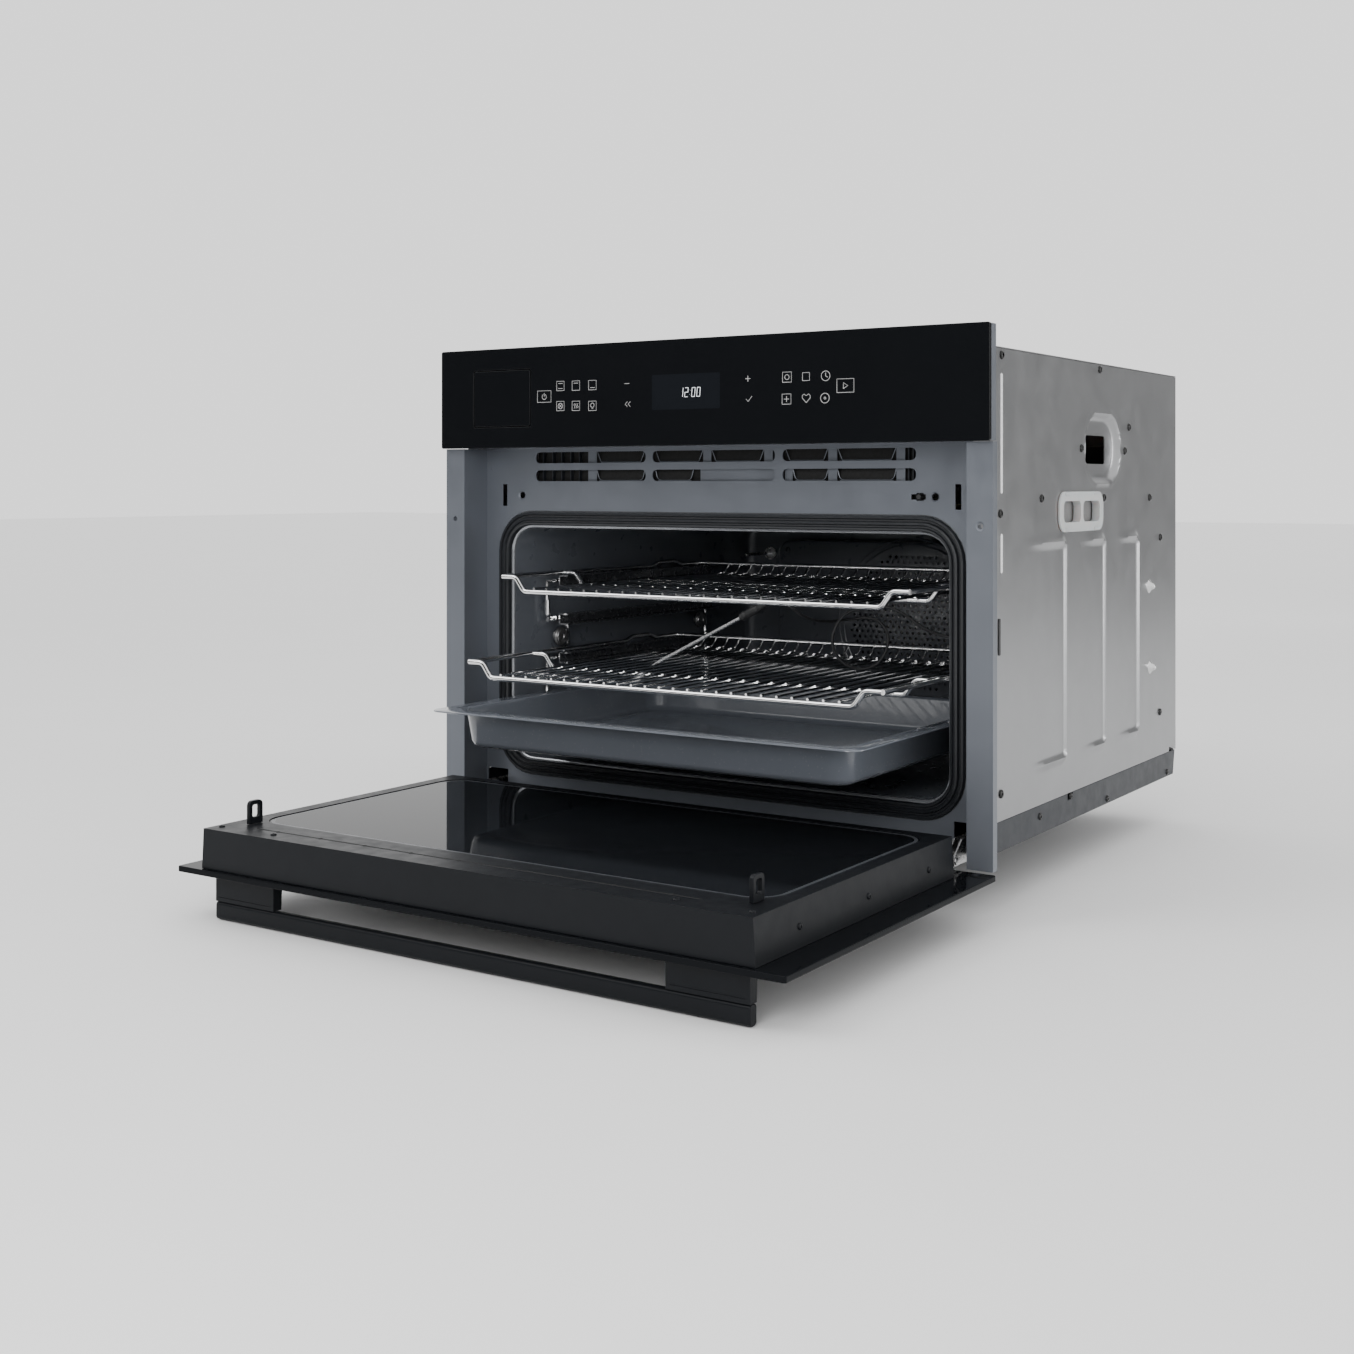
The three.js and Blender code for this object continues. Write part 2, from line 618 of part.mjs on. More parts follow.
function shelfSupport(side) {
  const x = side * ladderX;
  const [yFore, yAft] = yUpright;
  const top = railTop(3) - railHeight / 2;
  const foot = railTop(0) - railHeight / 2;
  const pieces = wire([
    [x, yFore, top], [x, yFore, loopTop], [x, yFore + loopReach, loopTop],
    [x, yFore + loopReach, loopFoot], [x, yFore, loopFoot], [x, yFore, foot],
  ], wireRadius);
  pieces.push(bar([x, yAft, top], [x, yAft, foot], wireRadius));
  const channel = polygon([
    [0, 0], [railWidth, 0], [railWidth, railHeight], [0, railHeight],
    [0, railHeight - 2], [railWidth - 2, railHeight - 2], [railWidth - 2, 2], [0, 2],
  ]);
  for (let level = 0; level < 4; level += 1) {
    const z = railTop(level) - railHeight;
    const rail = slab(channel, [yRail, yRail + railLength]);
    rail.translate(railInside, 0, z);
    if (side < 0) {
      rail.rotateZ(Math.PI).translate(0, 2 * yRail + railLength, 0);
    }
    pieces.push(rail);
    const height = z + railHeight / 2;
    const web = railInside + railWidth + 1;
    pieces.push(bar([x, yFore, height], [x, yRail + 12, height], wireRadius));
    pieces.push(bar([x, yRail + 10, height], [side * (web - 3), yRail + 10, height], wireRadius));
    pieces.push(bar([x, yAft, height], [side * (web - 3), yAft, height], wireRadius));
  }
  const shape = join(...pieces);
  const lugX = across(side, ladderX + 1.5, ladderX + 3);
  const { front, rear } = nutPlaces;
  const lugs = [
    block(lugX, [front.y - 7, yFore + loopReach + 1], [front.z - 7, front.z + 7]),
    block(lugX, [rear.y - 7, yAft + 1], [rear.z - 7, rear.z + 7]),
  ];
  const bores = Object.values(nutPlaces).map(({ y, z }) =>
    rod([side * (ladderX - 1), y, z], [side * (ladderX + 6), y, z], 3.6, 8));
  return cut(join(shape, ...lugs), ...bores);
}

function supportNut(side, place) {
  const { y, z } = place;
  const head = rod([side * (ladderX - 3.2), y, z], [side * (ladderX + 1.5 - gap), y, z], 9.5, 14);
  const neck = rod([side * ladderX, y, z], [side * (cavityHalf - gap), y, z], 3, 8);
  return join(head, neck);
}

// ---- Racks and tray ----
// The front bar and the cross bar dip from the side wires to the grid.
function dippedBar(y, z) {
  const points = [[-rackHalf, y, z], [-rackHalf + 16.5, y, z], [-rackHalf + 26.7, y, z - rackDrop]];
  const mirrored = points.map(([x, b, c]) => [-x, b, c]).reverse();
  return wire([...points, ...mirrored], rackWire);
}

function rack() {
  const pieces = [...dippedBar(0, 0), ...dippedBar(98, 0)];
  const stopStart = 262;
  const stopRise = 4;
  for (const [, side] of sides) {
    const x = side * rackHalf;
    pieces.push(...wire([
      [x, 0, 0], [x, stopStart, 0], [x, stopStart + 10, stopRise],
      [x, stopStart + 46, stopRise], [x, stopStart + 56, 0], [x, rackDepth, 0],
    ], rackWire));
  }
  const gridZ = -rackDrop + rackWire + gridWire - 0.6;
  const tieZ = gridZ - gridWire - rackWire + 1.2;
  pieces.push(bar([-rackHalf, rackDepth, 0], [rackHalf, rackDepth, 0], rackWire));
  const tieHalf = rackHalf - 34;
  pieces.push(bar([-tieHalf, rackDepth - 20, tieZ], [tieHalf, rackDepth - 20, tieZ], rackWire - 0.6));
  // Each grid wire runs from the front bar to the back, and turns up to the rear bar.
  const w = gridWire * 0.9;
  const bend = rackDepth - 12;
  const outline = polygon([
    [-1, gridZ - w], [bend + w, gridZ - w], [rackDepth + w, -w],
    [rackDepth - w, w], [bend - w, gridZ + w], [-1, gridZ + w],
  ]);
  for (let i = 0; i < gridCount; i += 1) {
    const x = (i - (gridCount - 1) / 2) * gridPitch;
    pieces.push(section(outline, [x - w, x + w]));
  }
  return join(...pieces);
}

function tray() {
  const rim = roundedPlan(trayHalf, [0, trayDepth], 14, [-trayRim, 0]);
  const pan = taperedPan(trayHalf - 20, [22, trayDepth - 14], traySink, 0);
  const hollow = taperedPan(trayHalf - 20 - trayRim, [22 + trayRim, trayDepth - 14 - trayRim],
    traySink - trayRim, 2);
  const slotPlaces = [[28, 72], [93, 139], [158, 204]];
  const slots = sides.flatMap(([, side]) => slotPlaces.map((y) =>
    block(across(side, trayHalf - 15, trayHalf - 10.5), y, [-4, 2])));
  return cut(join(rim, pan), hollow, ...slots);
}

// A plate with rounded corners, seen from above.
function roundedPlan(halfWidth, [y0, y1], radius, [z0, z1]) {
  return extrude(roundedOutline([-halfWidth, halfWidth], [y0, y1], radius), z1 - z0, 4).translate(0, 0, z0);
}

// The tray's basin, narrower at the bottom than at the rim, raised by a little at the top.
function taperedPan(halfWidth, [y0, y1], depth, above) {
  const taper = 5;
  const middle = (y0 + y1) / 2;
  const basin = roundedPlan(halfWidth, [y0, y1], 20, [-depth, above]);
  const place = basin.attributes.position;
  for (let i = 0; i < place.count; i += 1) {
    if (place.getZ(i) < 0) {
      const x = place.getX(i);
      const y = place.getY(i);
      place.setX(i, x * (1 - taper / halfWidth));
      place.setY(i, middle + (y - middle) * (1 - taper / (y1 - middle)));
    }
  }
  return basin;
}

// ---- Door, drawn closed about its hinge axis ----
function doorGlassOuter() {
  const y = [-hingeBack, -hingeBack + doorGlass];
  return slab(roundedOutline([-half, half], [-0.9, doorTopEdge], 8), y, 4);
}

const paneFoot = doorBoxFoot + 11;
const paneHead = hookLevel - 7.8;
const paneHalf = doorBoxHalf - 14;
const doorBoxFront = -hingeBack + doorGlass + gap;
function doorBox() {
  const profile = polygon([
    [-doorBoxHalf - doorFlare, doorBoxFront], [doorBoxHalf + doorFlare, doorBoxFront],
    [doorBoxHalf, doorBoxFace], [-doorBoxHalf, doorBoxFace],
  ]);
  const shell = extrude(profile, doorBoxHead - doorBoxFoot, 1).translate(0, 0, doorBoxFoot);
  const inner = midBlock(doorBoxHalf - doorSheet, [doorBoxFront + doorSheet, doorBoxFace - doorSheet],
    [doorBoxFoot + doorSheet, doorBoxHead - doorSheet]);
  const frontWindow = midBlock(paneHalf - 16, [doorBoxFront - 1, doorBoxFront + 3],
    [paneFoot + 16, paneHead - 16]);
  const holeHalf = paneHalf + gap;
  const paneHole = slab(roundedOutline([-holeHalf, holeHalf], [paneFoot - gap, paneHead + gap], 26),
    [doorBoxFace - 3, doorBoxFace + 1], 5);
  const armSlots = sides.map(([, side]) =>
    block(across(side, hingePlace - 3, hingePlace + 3), [-6.5, 6.5], [doorBoxFoot - 1, doorBoxFoot + 3]));
  return cut(shell, inner, frontWindow, paneHole, ...armSlots);
}

function doorGlassInner() {
  return slab(roundedOutline([-paneHalf, paneHalf], [paneFoot, paneHead], 26),
    [doorBoxFace - 0.6 - paneThickness, doorBoxFace - 0.6], 5);
}

function doorGlassMiddle() {
  return slab(roundedOutline([-paneHalf + 10, paneHalf - 10], [paneFoot + 8, paneHead - 8], 10), [4, 8], 2);
}

// Hinge arm: a flat bar with an eye round the hinge pin.
const armThick = 3;
function hingeArm(side) {
  const x = across(side, hingePlace - armThick / 2, hingePlace + armThick / 2);
  const eye = rod([x[0], 0, 0], [x[1], 0, 0], 5.5, 16);
  const bar = block(x, [-5.5, 5.5], [1, 96]);
  return cut(join(eye, bar), rod([x[0] - 1, 0, 0], [x[1] + 1, 0, 0], pinRadius + 0.08, 16));
}

function latchHook(side) {
  const x = across(side, hookPlace - 1.8, hookPlace + 1.8);
  const y = [doorBoxFace + gap, doorBoxFace + hookReach];
  const z = [hookLevel - hookHeight / 2, hookLevel + hookHeight / 2];
  const tip = section(roundedOutline(y, z, 4), x, 3);
  const root = block(x, [y[0], y[0] + 5], z);
  const eyeOutline = roundedOutline([y[0] + 5.5, y[1] - 3.5], [z[0] + 3.5, z[1] - 3.5], 2);
  const eye = section(eyeOutline, [x[0] - 1, x[1] + 1], 3);
  return cut(join(tip, root), eye);
}

function handleBar() {
  return section(polygon([
    [-handleReach, handleTop - handleThick],
    [-handleReach, handleTop],
    [-handleReach + handleBarDepth, handleTop],
    [-handleReach + handleBarDepth, handleTop - handleThick - 0.9],
  ]), [-handleHalf, handleHalf]);
}

function handleBracket(side) {
  const front = -handleReach + handleBarDepth + gap;
  return section(polygon([
    [front, handleTop - handleThick - 0.9], [front, handleTop],
    [-hingeBack - gap, handleTop], [-hingeBack - gap, handleTop - handleThick - 2.2],
  ]), across(side, handleHalf - bracketWidth, handleHalf));
}

// The fixed half of each hinge: two cheeks, a pin between them and a box behind the front.
function hingeReceiver(side) {
  const x = side * hingePlace;
  const cheekGap = armThick / 2 + 0.8;
  const cheeks = [-1, 1].map((way) => {
    const low = x + (way > 0 ? cheekGap : -cheekGap - 2);
    return section(polygon([
      [yHinge - 4, zHinge - 3.8], [yBehind - 2, zHinge - 3.8], [yBehind - 2, casingSheet + gap],
      [yHinge + 60, casingSheet + gap], [yHinge + 60, zHinge + 17], [yHinge + 12, zHinge + 17],
      [yHinge - 4, zHinge + 4],
    ]), [low, low + 2]);
  });
  const pin = rod([x - cheekGap - 2, yHinge, zHinge], [x + cheekGap + 2, yHinge, zHinge], pinRadius, 16);
  const back = block([x - cheekGap - 2, x + cheekGap + 2], [yHinge + 48, yHinge + 60],
    [zHinge + 4, zHinge + 17]);
  return join(...cheeks, pin, back);
}

// ---- Air, steam and electrics above and behind the cavity ----
const ductZ = [zPanel - 37.8, zPanel + 2.2];
const ductHalf = 216;
const ductEnd = yRecess + 266;
const rotorPlace = { x: 0, y: yRecess + 324 };
const rotorRadius = 42;

function coolingDuct() {
  const y = [yBehind, ductEnd];
  const outside = midBlock(ductHalf, y, ductZ);
  const inside = midBlock(ductHalf - 1.2, [y[0] - 1, y[1] + 1], [ductZ[0] + 1.2, ductZ[1] - 1.2]);
  return cut(outside, inside);
}

// Two bars with upright fins behind the vents.
function ventGrille() {
  const y = [yBehind + 3, yBehind + 9];
  const z = [ductZ[0] + 1.2 + gap, ductZ[1] - 1.2 - gap];
  const frame = midBlock(ductHalf - 1.2 - gap, y, z);
  const windows = [];
  for (const [x0, x1] of ventGroups) {
    const count = 3;
    for (let i = 0; i < count; i += 1) {
      const step = (x1 - x0) / count;
      windows.push(block([x0 + i * step + 4, x0 + (i + 1) * step - 4], [y[0] - 1, y[1] + 1],
        [z[0] + 4.5, z[1] - 4.5]));
    }
  }
  return cut(frame, ...windows);
}

function coolingFanHousing() {
  const { x, y } = rotorPlace;
  const outer = block([x - 150, x + 150], [ductEnd + gap, y + 62], [ductZ[0], ductZ[1]]);
  const inner = block([x - 148, x + 148], [ductEnd - 1, y + 60], [ductZ[0] + 1.5, ductZ[1] - 1.5]);
  const intake = new THREE.CylinderGeometry(34, 34, 10, 20).rotateX(Math.PI / 2).translate(x, y, ductZ[1]);
  return cut(outer, inner, intake);
}

// A drum of blades on an upright shaft.
function coolingRotor() {
  const height = 30;
  const disc = new THREE.CylinderGeometry(rotorRadius, rotorRadius, 1.5, 20).rotateX(Math.PI / 2);
  disc.translate(0, 0, -height / 2);
  const crown = ring(rotorRadius, rotorRadius - 8, 1.5, 10).translate(0, 0, height / 2 - 1.5);
  const hub = new THREE.CylinderGeometry(8, 8, 16, 10).rotateX(Math.PI / 2);
  hub.translate(0, 0, -height / 2 + 7.5);
  const blades = [];
  const bladeCount = 12;
  for (let i = 0; i < bladeCount; i += 1) {
    const blade = new THREE.BoxGeometry(8, 1, height - 1).translate(rotorRadius - 4.2, 0, -0.5);
    blades.push(blade.rotateZ((i / bladeCount) * 2 * Math.PI));
  }
  return join(disc, crown, hub, ...blades);
}

function powerBoard() {
  const y = yRecess + 26;
  const z = ductZ[1] + 28;
  const base = block([40, 250], [y, y + 160], [z, z + 2]);
  const blocks = [
    block([60, 100], [y + 20, y + 60], [z + 1, z + 28]),
    block([120, 180], [y + 20, y + 70], [z + 1, z + 20]),
    block([200, 235], [y + 90, y + 140], [z + 1, z + 24]),
  ];
  return join(base, ...blocks);
}

function terminalBlock() {
  const { x, z } = terminalPlace;
  const body = block(x, [yRear - 34, yRear - casingSheet - gap], z);
  const clamps = [0, 1, 2, 3].map((i) =>
    block([x[0] + 8 + 18 * i, x[0] + 18 + 18 * i], [yRear - 36, yRear - 22], [z[0] + 12, z[0] + 28]));
  return cut(body, ...clamps);
}

function steamGenerator() {
  const place = [-170, yRear - 123.5, ductZ[1] + 39];
  const body = rod([place[0] - 45, place[1], place[2]], [place[0] + 45, place[1], place[2]], 26, 14);
  const ports = [-25, 25].map((dx) =>
    rod([place[0] + dx, place[1], place[2] - 20], [place[0] + dx, place[1], place[2] - 36], 5, 8));
  return join(body, ...ports);
}

function waterPump() {
  const y = yRecess + 246;
  const z = ductZ[1] + 50;
  const body = block([-110, -60], [y, y + 44], [z - 18, z + 18]);
  const nose = rod([-85, y - 22, z], [-85, y + 2, z], 9, 10);
  return join(body, nose);
}

// ---- Door switch ----
const plungerX = hookPlace - 36;
const plungerTravel = 2.5;
function switchPlunger() {
  const y = [yRecess - 3.5, yRecess + 26];
  const stem = rod([plungerX, y[0], slotLevel], [plungerX, y[1], slotLevel], 2.4, 8);
  const stop = rod([plungerX, yBehind + 4, slotLevel], [plungerX, yBehind + 7, slotLevel], 4.5, 8);
  return join(stem, stop);
}

// ---- Meat probe ----
const leadRadius = 1.5;
const probeTip = new THREE.Vector3(-86, -225.5, 139.4);
const probeWay = new THREE.Vector3(0.894, -0.0125, 0.4475).normalize();
const rodLength = 119;
const gripEnd = 150;
const leadPoints = [
  [48, -227, 207], [52, -227, 208], [56, -226, 209], [62, -222, 208], [68, -216, 203], [71, -204, 196],
  [72, -184, 190], [72, -162, 187], [74, -140, 186], [84, -120, 187], [92, -115, 188], [102, -109, 186],
  [110, -106, 178], [113, -105, 167], [111, -108, 154], [104, -115, 143], [94, -124, 139], [83, -134, 143],
  [75, -141, 153], [73, -145, 167], [77, -144, 182], [85, -139, 193], [97, -131, 198], [122, -124, 200],
  [138, -120, 193], [150, -118, 185], [164, -117, 178], [182, -118, 174], [200, -108, 166],
  [214, -106, 160], [222, -106, 159], [228, -106, 159],
];

function onProbe(distance) {
  return probeTip.clone().addScaledVector(probeWay, distance).toArray();
}

function probeRod() {
  const shaft = rod(onProbe(8), onProbe(rodLength - gap), 1.8, 8);
  const point = new THREE.CylinderGeometry(1.8, 0.3, 9, 8);
  point.applyQuaternion(new THREE.Quaternion().setFromUnitVectors(yAxis, probeWay));
  return join(shaft, point.translate(...onProbe(4.5)));
}

function probeGrip() {
  const knuckle = rod(onProbe(rodLength), onProbe(rodLength + 9), 4.2, 10);
  const sleeve = rod(onProbe(rodLength + 8), onProbe(gripEnd - gap), 3, 10);
  return join(knuckle, sleeve);
}

function probeLead() {
  const points = leadPoints.map((p) => new THREE.Vector3(...p));
  const route = new THREE.CatmullRomCurve3(points, false, 'centripetal');
  const outline = new THREE.Shape();
  const count = 8;
  for (let i = 0; i < count; i += 1) {
    const angle = (i / count) * 2 * Math.PI;
    const [u, v] = [leadRadius * Math.cos(angle), leadRadius * Math.sin(angle)];
    if (i === 0) outline.moveTo(u, v);
    else outline.lineTo(u, v);
  }
  return new THREE.ExtrudeGeometry(outline, { steps: 76, extrudePath: route, bevelEnabled: false });
}

function probePlug() {
  const { y, z } = probePlace;
  const boot = rod([cavityHalf - 11.6, y, z], [cavityHalf - 4 - gap, y, z], 4.5, 10);
  const pin = rod([cavityHalf - 5, y, z], [cavityHalf + 14, y, z], 2.8, 8);
  return join(boot, pin);
}

// ---- Assembly ----
const oven = new THREE.Group();
oven.name = 'wall_oven';

const casing = new THREE.Group();
casing.add(piece('base_pan', basePan(), darkSteel));
casing.add(piece('top_cover', topCover(), zinc));
casing.add(piece('rear_panel', rearPanel(), zinc));
for (const [name, side] of sides) {
  casing.add(piece(`side_panel_${name}`, sidePanel(side), zinc));
}
casing.add(piece('side_grommet_right', sideGrommet(grommetSide), greyPlastic));
oven.add(casing);

const front = new THREE.Group();
front.add(piece('front_frame', frontFrame(), frameSteel));
front.add(piece('control_glass', controlGlass(), blackGlass));
front.add(piece('control_carrier', controlCarrier(), blackPlastic));
front.add(piece('control_board', controlBoard(), circuit));
front.add(piece('switch_plunger', switchPlunger(), blackPlastic));
for (const [name, side] of sides) {
  front.add(piece(`hinge_receiver_${name}`, hingeReceiver(side), brightSteel));
}
oven.add(front);

const drawer = new THREE.Group();
drawer.add(piece('tank_front', tankFront(), blackGlass));
drawer.add(piece('water_tank', waterTank(), clearPlastic));
drawer.add(piece('tank_lid', tankLid(), clearPlastic));
oven.add(drawer);
oven.add(piece('tank_sleeve', tankSleeve(), greyPlastic));

const cavity = new THREE.Group();
cavity.add(piece('cavity_liner', cavityLiner(), enamel));
cavity.add(piece('cavity_seal', cavitySeal(), silicone));
cavity.add(piece('insulation', insulation(), wool));
cavity.add(piece('fan_cover', fanCover(), enamel));
cavity.add(piece('fan_wheel', fanWheel(), brightSteel));
cavity.add(piece('fan_motor', fanMotor(), zinc));
cavity.add(piece('ring_heater', ringHeater(), darkSteel));
cavity.add(piece('cavity_lamp', cavityLamp(), ceramic));
cavity.add(piece('temperature_sensor', temperatureSensor(), brightSteel));
cavity.add(piece('steam_inlet', steamInlet(), brightSteel));
cavity.add(piece('probe_socket', probeSocket(), brightSteel));
for (const [name, side] of sides) {
  cavity.add(piece(`shelf_support_${name}`, shelfSupport(side), enamel));
  for (const [end, place] of Object.entries(nutPlaces)) {
    cavity.add(piece(`support_nut_${end}_${name}`, supportNut(side, place), brightSteel));
  }
}
oven.add(cavity);

const shelves = [
  ['upper_rack', rack(), chrome, upperPull, railTop(3) + rackWire + gap],
  ['lower_rack', rack(), chrome, lowerPull, railTop(1) + rackWire + gap],
  ['baking_tray', tray(), trayEnamel, trayPull, railTop(0) + trayRim + gap],
];
for (const [name, shape, material, pull, height] of shelves) {
  const shelf = piece(name, shape, material);
  shelf.position.set(0, yShelfIn - pull, height);
  oven.add(shelf);
}

const door = new THREE.Group();
door.position.set(0, yHinge, zHinge);
door.rotation.x = THREE.MathUtils.degToRad(doorAngle);
door.add(piece('door_glass_outer', doorGlassOuter(), blackGlass));
door.add(piece('door_box', doorBox(), blackPaint));
door.add(piece('door_glass_middle', doorGlassMiddle(), blackGlass));
door.add(piece('door_glass_inner', doorGlassInner(), blackGlass));
door.add(piece('handle_bar', handleBar(), blackPaint));
for (const [name, side] of sides) {
  door.add(piece(`hinge_arm_${name}`, hingeArm(side), brightSteel));
  door.add(piece(`latch_hook_${name}`, latchHook(side), blackPlastic));
  door.add(piece(`handle_bracket_${name}`, handleBracket(side), blackPaint));
}
oven.add(door);

const services = new THREE.Group();
services.add(piece('cooling_duct', coolingDuct(), zinc));
services.add(piece('vent_grille', ventGrille(), blackPlastic));
services.add(piece('cooling_fan_housing', coolingFanHousing(), zinc));
const rotor = piece('cooling_rotor', coolingRotor(), blackPlastic);
rotor.position.set(rotorPlace.x, rotorPlace.y, (ductZ[0] + ductZ[1]) / 2);
services.add(rotor);
services.add(piece('power_board', powerBoard(), circuit));
services.add(piece('terminal_block', terminalBlock(), ceramic));
services.add(piece('steam_generator', steamGenerator(), brightSteel));
services.add(piece('water_pump', waterPump(), greyPlastic));
oven.add(services);

const probe = new THREE.Group();
probe.add(piece('probe_rod', probeRod(), chrome));
probe.add(piece('probe_grip', probeGrip(), brightSteel));
probe.add(piece('probe_lead', probeLead(), blackPlastic));
probe.add(piece('probe_plug', probePlug(), brightSteel));
oven.add(probe);

export default oven;
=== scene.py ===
import json
from collections import namedtuple
from math import cos, hypot, pi, radians, sin

import bmesh
import bpy
from mathutils import Matrix, Vector

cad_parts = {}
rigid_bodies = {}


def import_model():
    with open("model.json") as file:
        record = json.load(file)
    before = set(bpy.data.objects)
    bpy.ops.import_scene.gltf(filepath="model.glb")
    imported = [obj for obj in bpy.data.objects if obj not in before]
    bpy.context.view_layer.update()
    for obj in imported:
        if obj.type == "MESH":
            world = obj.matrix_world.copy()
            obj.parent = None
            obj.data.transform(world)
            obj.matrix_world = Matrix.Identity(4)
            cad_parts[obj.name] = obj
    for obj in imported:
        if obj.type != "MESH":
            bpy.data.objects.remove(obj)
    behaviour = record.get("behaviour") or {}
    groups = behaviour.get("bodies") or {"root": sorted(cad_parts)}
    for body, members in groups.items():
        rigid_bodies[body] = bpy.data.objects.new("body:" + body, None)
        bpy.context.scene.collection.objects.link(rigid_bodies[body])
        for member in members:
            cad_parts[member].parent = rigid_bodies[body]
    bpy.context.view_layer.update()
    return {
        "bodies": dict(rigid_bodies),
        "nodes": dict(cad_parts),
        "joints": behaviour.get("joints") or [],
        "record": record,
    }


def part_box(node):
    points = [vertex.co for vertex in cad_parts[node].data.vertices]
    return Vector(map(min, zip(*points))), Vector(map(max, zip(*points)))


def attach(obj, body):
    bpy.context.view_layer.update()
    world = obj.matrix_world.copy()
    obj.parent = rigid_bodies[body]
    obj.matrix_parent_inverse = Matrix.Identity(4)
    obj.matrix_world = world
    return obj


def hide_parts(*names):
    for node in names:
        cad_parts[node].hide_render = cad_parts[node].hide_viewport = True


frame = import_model()
mm = 0.001
print("frame loaded:", len(frame["nodes"]), "nodes")

Span = namedtuple("Span", "x0 x1 y0 y1 z0 z1")


def span(node):
    low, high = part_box(node)
    return Span(low.x, high.x, low.y, high.y, low.z, high.z)


panel = span("control_glass")
recess = span("front_frame")
liner = span("cavity_liner")
casing = span("side_panel_right")
doorGlass = span("door_glass_outer")
sealSpan = span("cavity_seal")
sides = {"left": -1, "right": 1}

# places that several pieces share
glassFront = panel.y0
recessFace = recess.y1 - 1.2 * mm     # front of the recessed sheet
lipMargin = 24.5 * mm                 # liner lip round the cavity mouth
cavity = Span(liner.x0 + lipMargin, liner.x1 - lipMargin, liner.y0, liner.y1 - 1.2 * mm,
              liner.z0 + lipMargin, liner.z1 - lipMargin)
cavityRadius = 24 * mm


# ---- camera and probe lead ----
cameraSet = {"place": (0.8599, -1.6042, 0.3179), "yaw": 33.52, "lens": 45.49, "sensor": 36, "lift": -0.1423}


def makeCamera(s):
    data = bpy.data.cameras.new("camera")
    data.lens = s["lens"]
    data.sensor_width = s["sensor"]
    data.shift_y = s["lift"]
    camera = bpy.data.objects.new("camera", data)
    camera.location = s["place"]
    camera.rotation_euler = (pi / 2, 0, radians(s["yaw"]))
    bpy.context.scene.collection.objects.link(camera)
    bpy.context.scene.camera = camera


makeCamera(cameraSet)

leadSet = {
    "radius": 1.5 * mm, "length": 0.450, "steps": 6,
    "points": [
        (48, -227, 207), (52, -227, 208), (56, -226, 209), (62, -222, 208), (68, -216, 203),
        (71, -204, 196), (72, -184, 190), (72, -162, 187), (74, -140, 186), (84, -120, 187),
        (92, -115, 188), (102, -109, 186), (110, -106, 178), (113, -105, 167), (111, -108, 154),
        (104, -115, 143), (94, -124, 139), (83, -134, 143), (75, -141, 153), (73, -145, 167),
        (77, -144, 182), (85, -139, 193), (97, -131, 198), (122, -124, 200), (138, -120, 193),
        (150, -118, 185), (164, -117, 178), (182, -118, 174), (200, -108, 166), (214, -106, 160),
        (222, -106, 159), (228, -106, 159)],
}


def smoothRoute(points, steps):
    # centripetal Catmull-Rom through the points
    ends = [points[0] * 2 - points[1], *points, points[-1] * 2 - points[-2]]
    route = [points[0]]
    for a, b, c, d in zip(ends, ends[1:], ends[2:], ends[3:]):
        t1 = (b - a).length ** 0.5
        t2 = t1 + (c - b).length ** 0.5
        t3 = t2 + (d - c).length ** 0.5
        for i in range(1, steps + 1):
            t = t1 + (t2 - t1) * i / steps
            ab = a.lerp(b, t / t1)
            bc = b.lerp(c, (t - t1) / (t2 - t1))
            cd = c.lerp(d, (t - t2) / (t3 - t2))
            abc = ab.lerp(bc, t / t2)
            bcd = bc.lerp(cd, (t - t1) / (t3 - t1))
            route.append(abc.lerp(bcd, (t - t1) / (t2 - t1)))
    return route


def makeLead(s):
    route = smoothRoute([Vector(p) * mm for p in s["points"]], s["steps"])
    curve = bpy.data.curves.new("leadLine", "CURVE")
    curve.dimensions = "3D"
    curve.bevel_depth = s["radius"]
    curve.bevel_resolution = 4
    curve.use_fill_caps = True
    spline = curve.splines.new("POLY")
    spline.points.add(len(route) - 1)
    for point, place in zip(spline.points, route):
        point.co = (*place, 1)
    line = bpy.data.objects.new("leadLine", curve)
    bpy.context.scene.collection.objects.link(line)
    mesh = bpy.data.meshes.new_from_object(line.evaluated_get(bpy.context.evaluated_depsgraph_get()))
    bpy.data.objects.remove(line)
    lead = bpy.data.objects.new("probeLead", mesh)
    bpy.context.scene.collection.objects.link(lead)
    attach(lead, "oven")
    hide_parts("probe_lead")
    return lead, route


probeLead, leadRoute = makeLead(leadSet)
print("camera and probe lead made")


# ---- finishes ----
def startGroup(name, inputs, outputs):
    group = bpy.data.node_groups.new(name, "ShaderNodeTree")
    for label, kind, value in inputs:
        socket = group.interface.new_socket(name=label, in_out="INPUT", socket_type="NodeSocket" + kind)
        if value is not None:
            socket.default_value = value
    for label, kind in outputs:
        group.interface.new_socket(name=label, in_out="OUTPUT", socket_type="NodeSocket" + kind)
    return group, group.nodes.new("NodeGroupInput"), group.nodes.new("NodeGroupOutput")


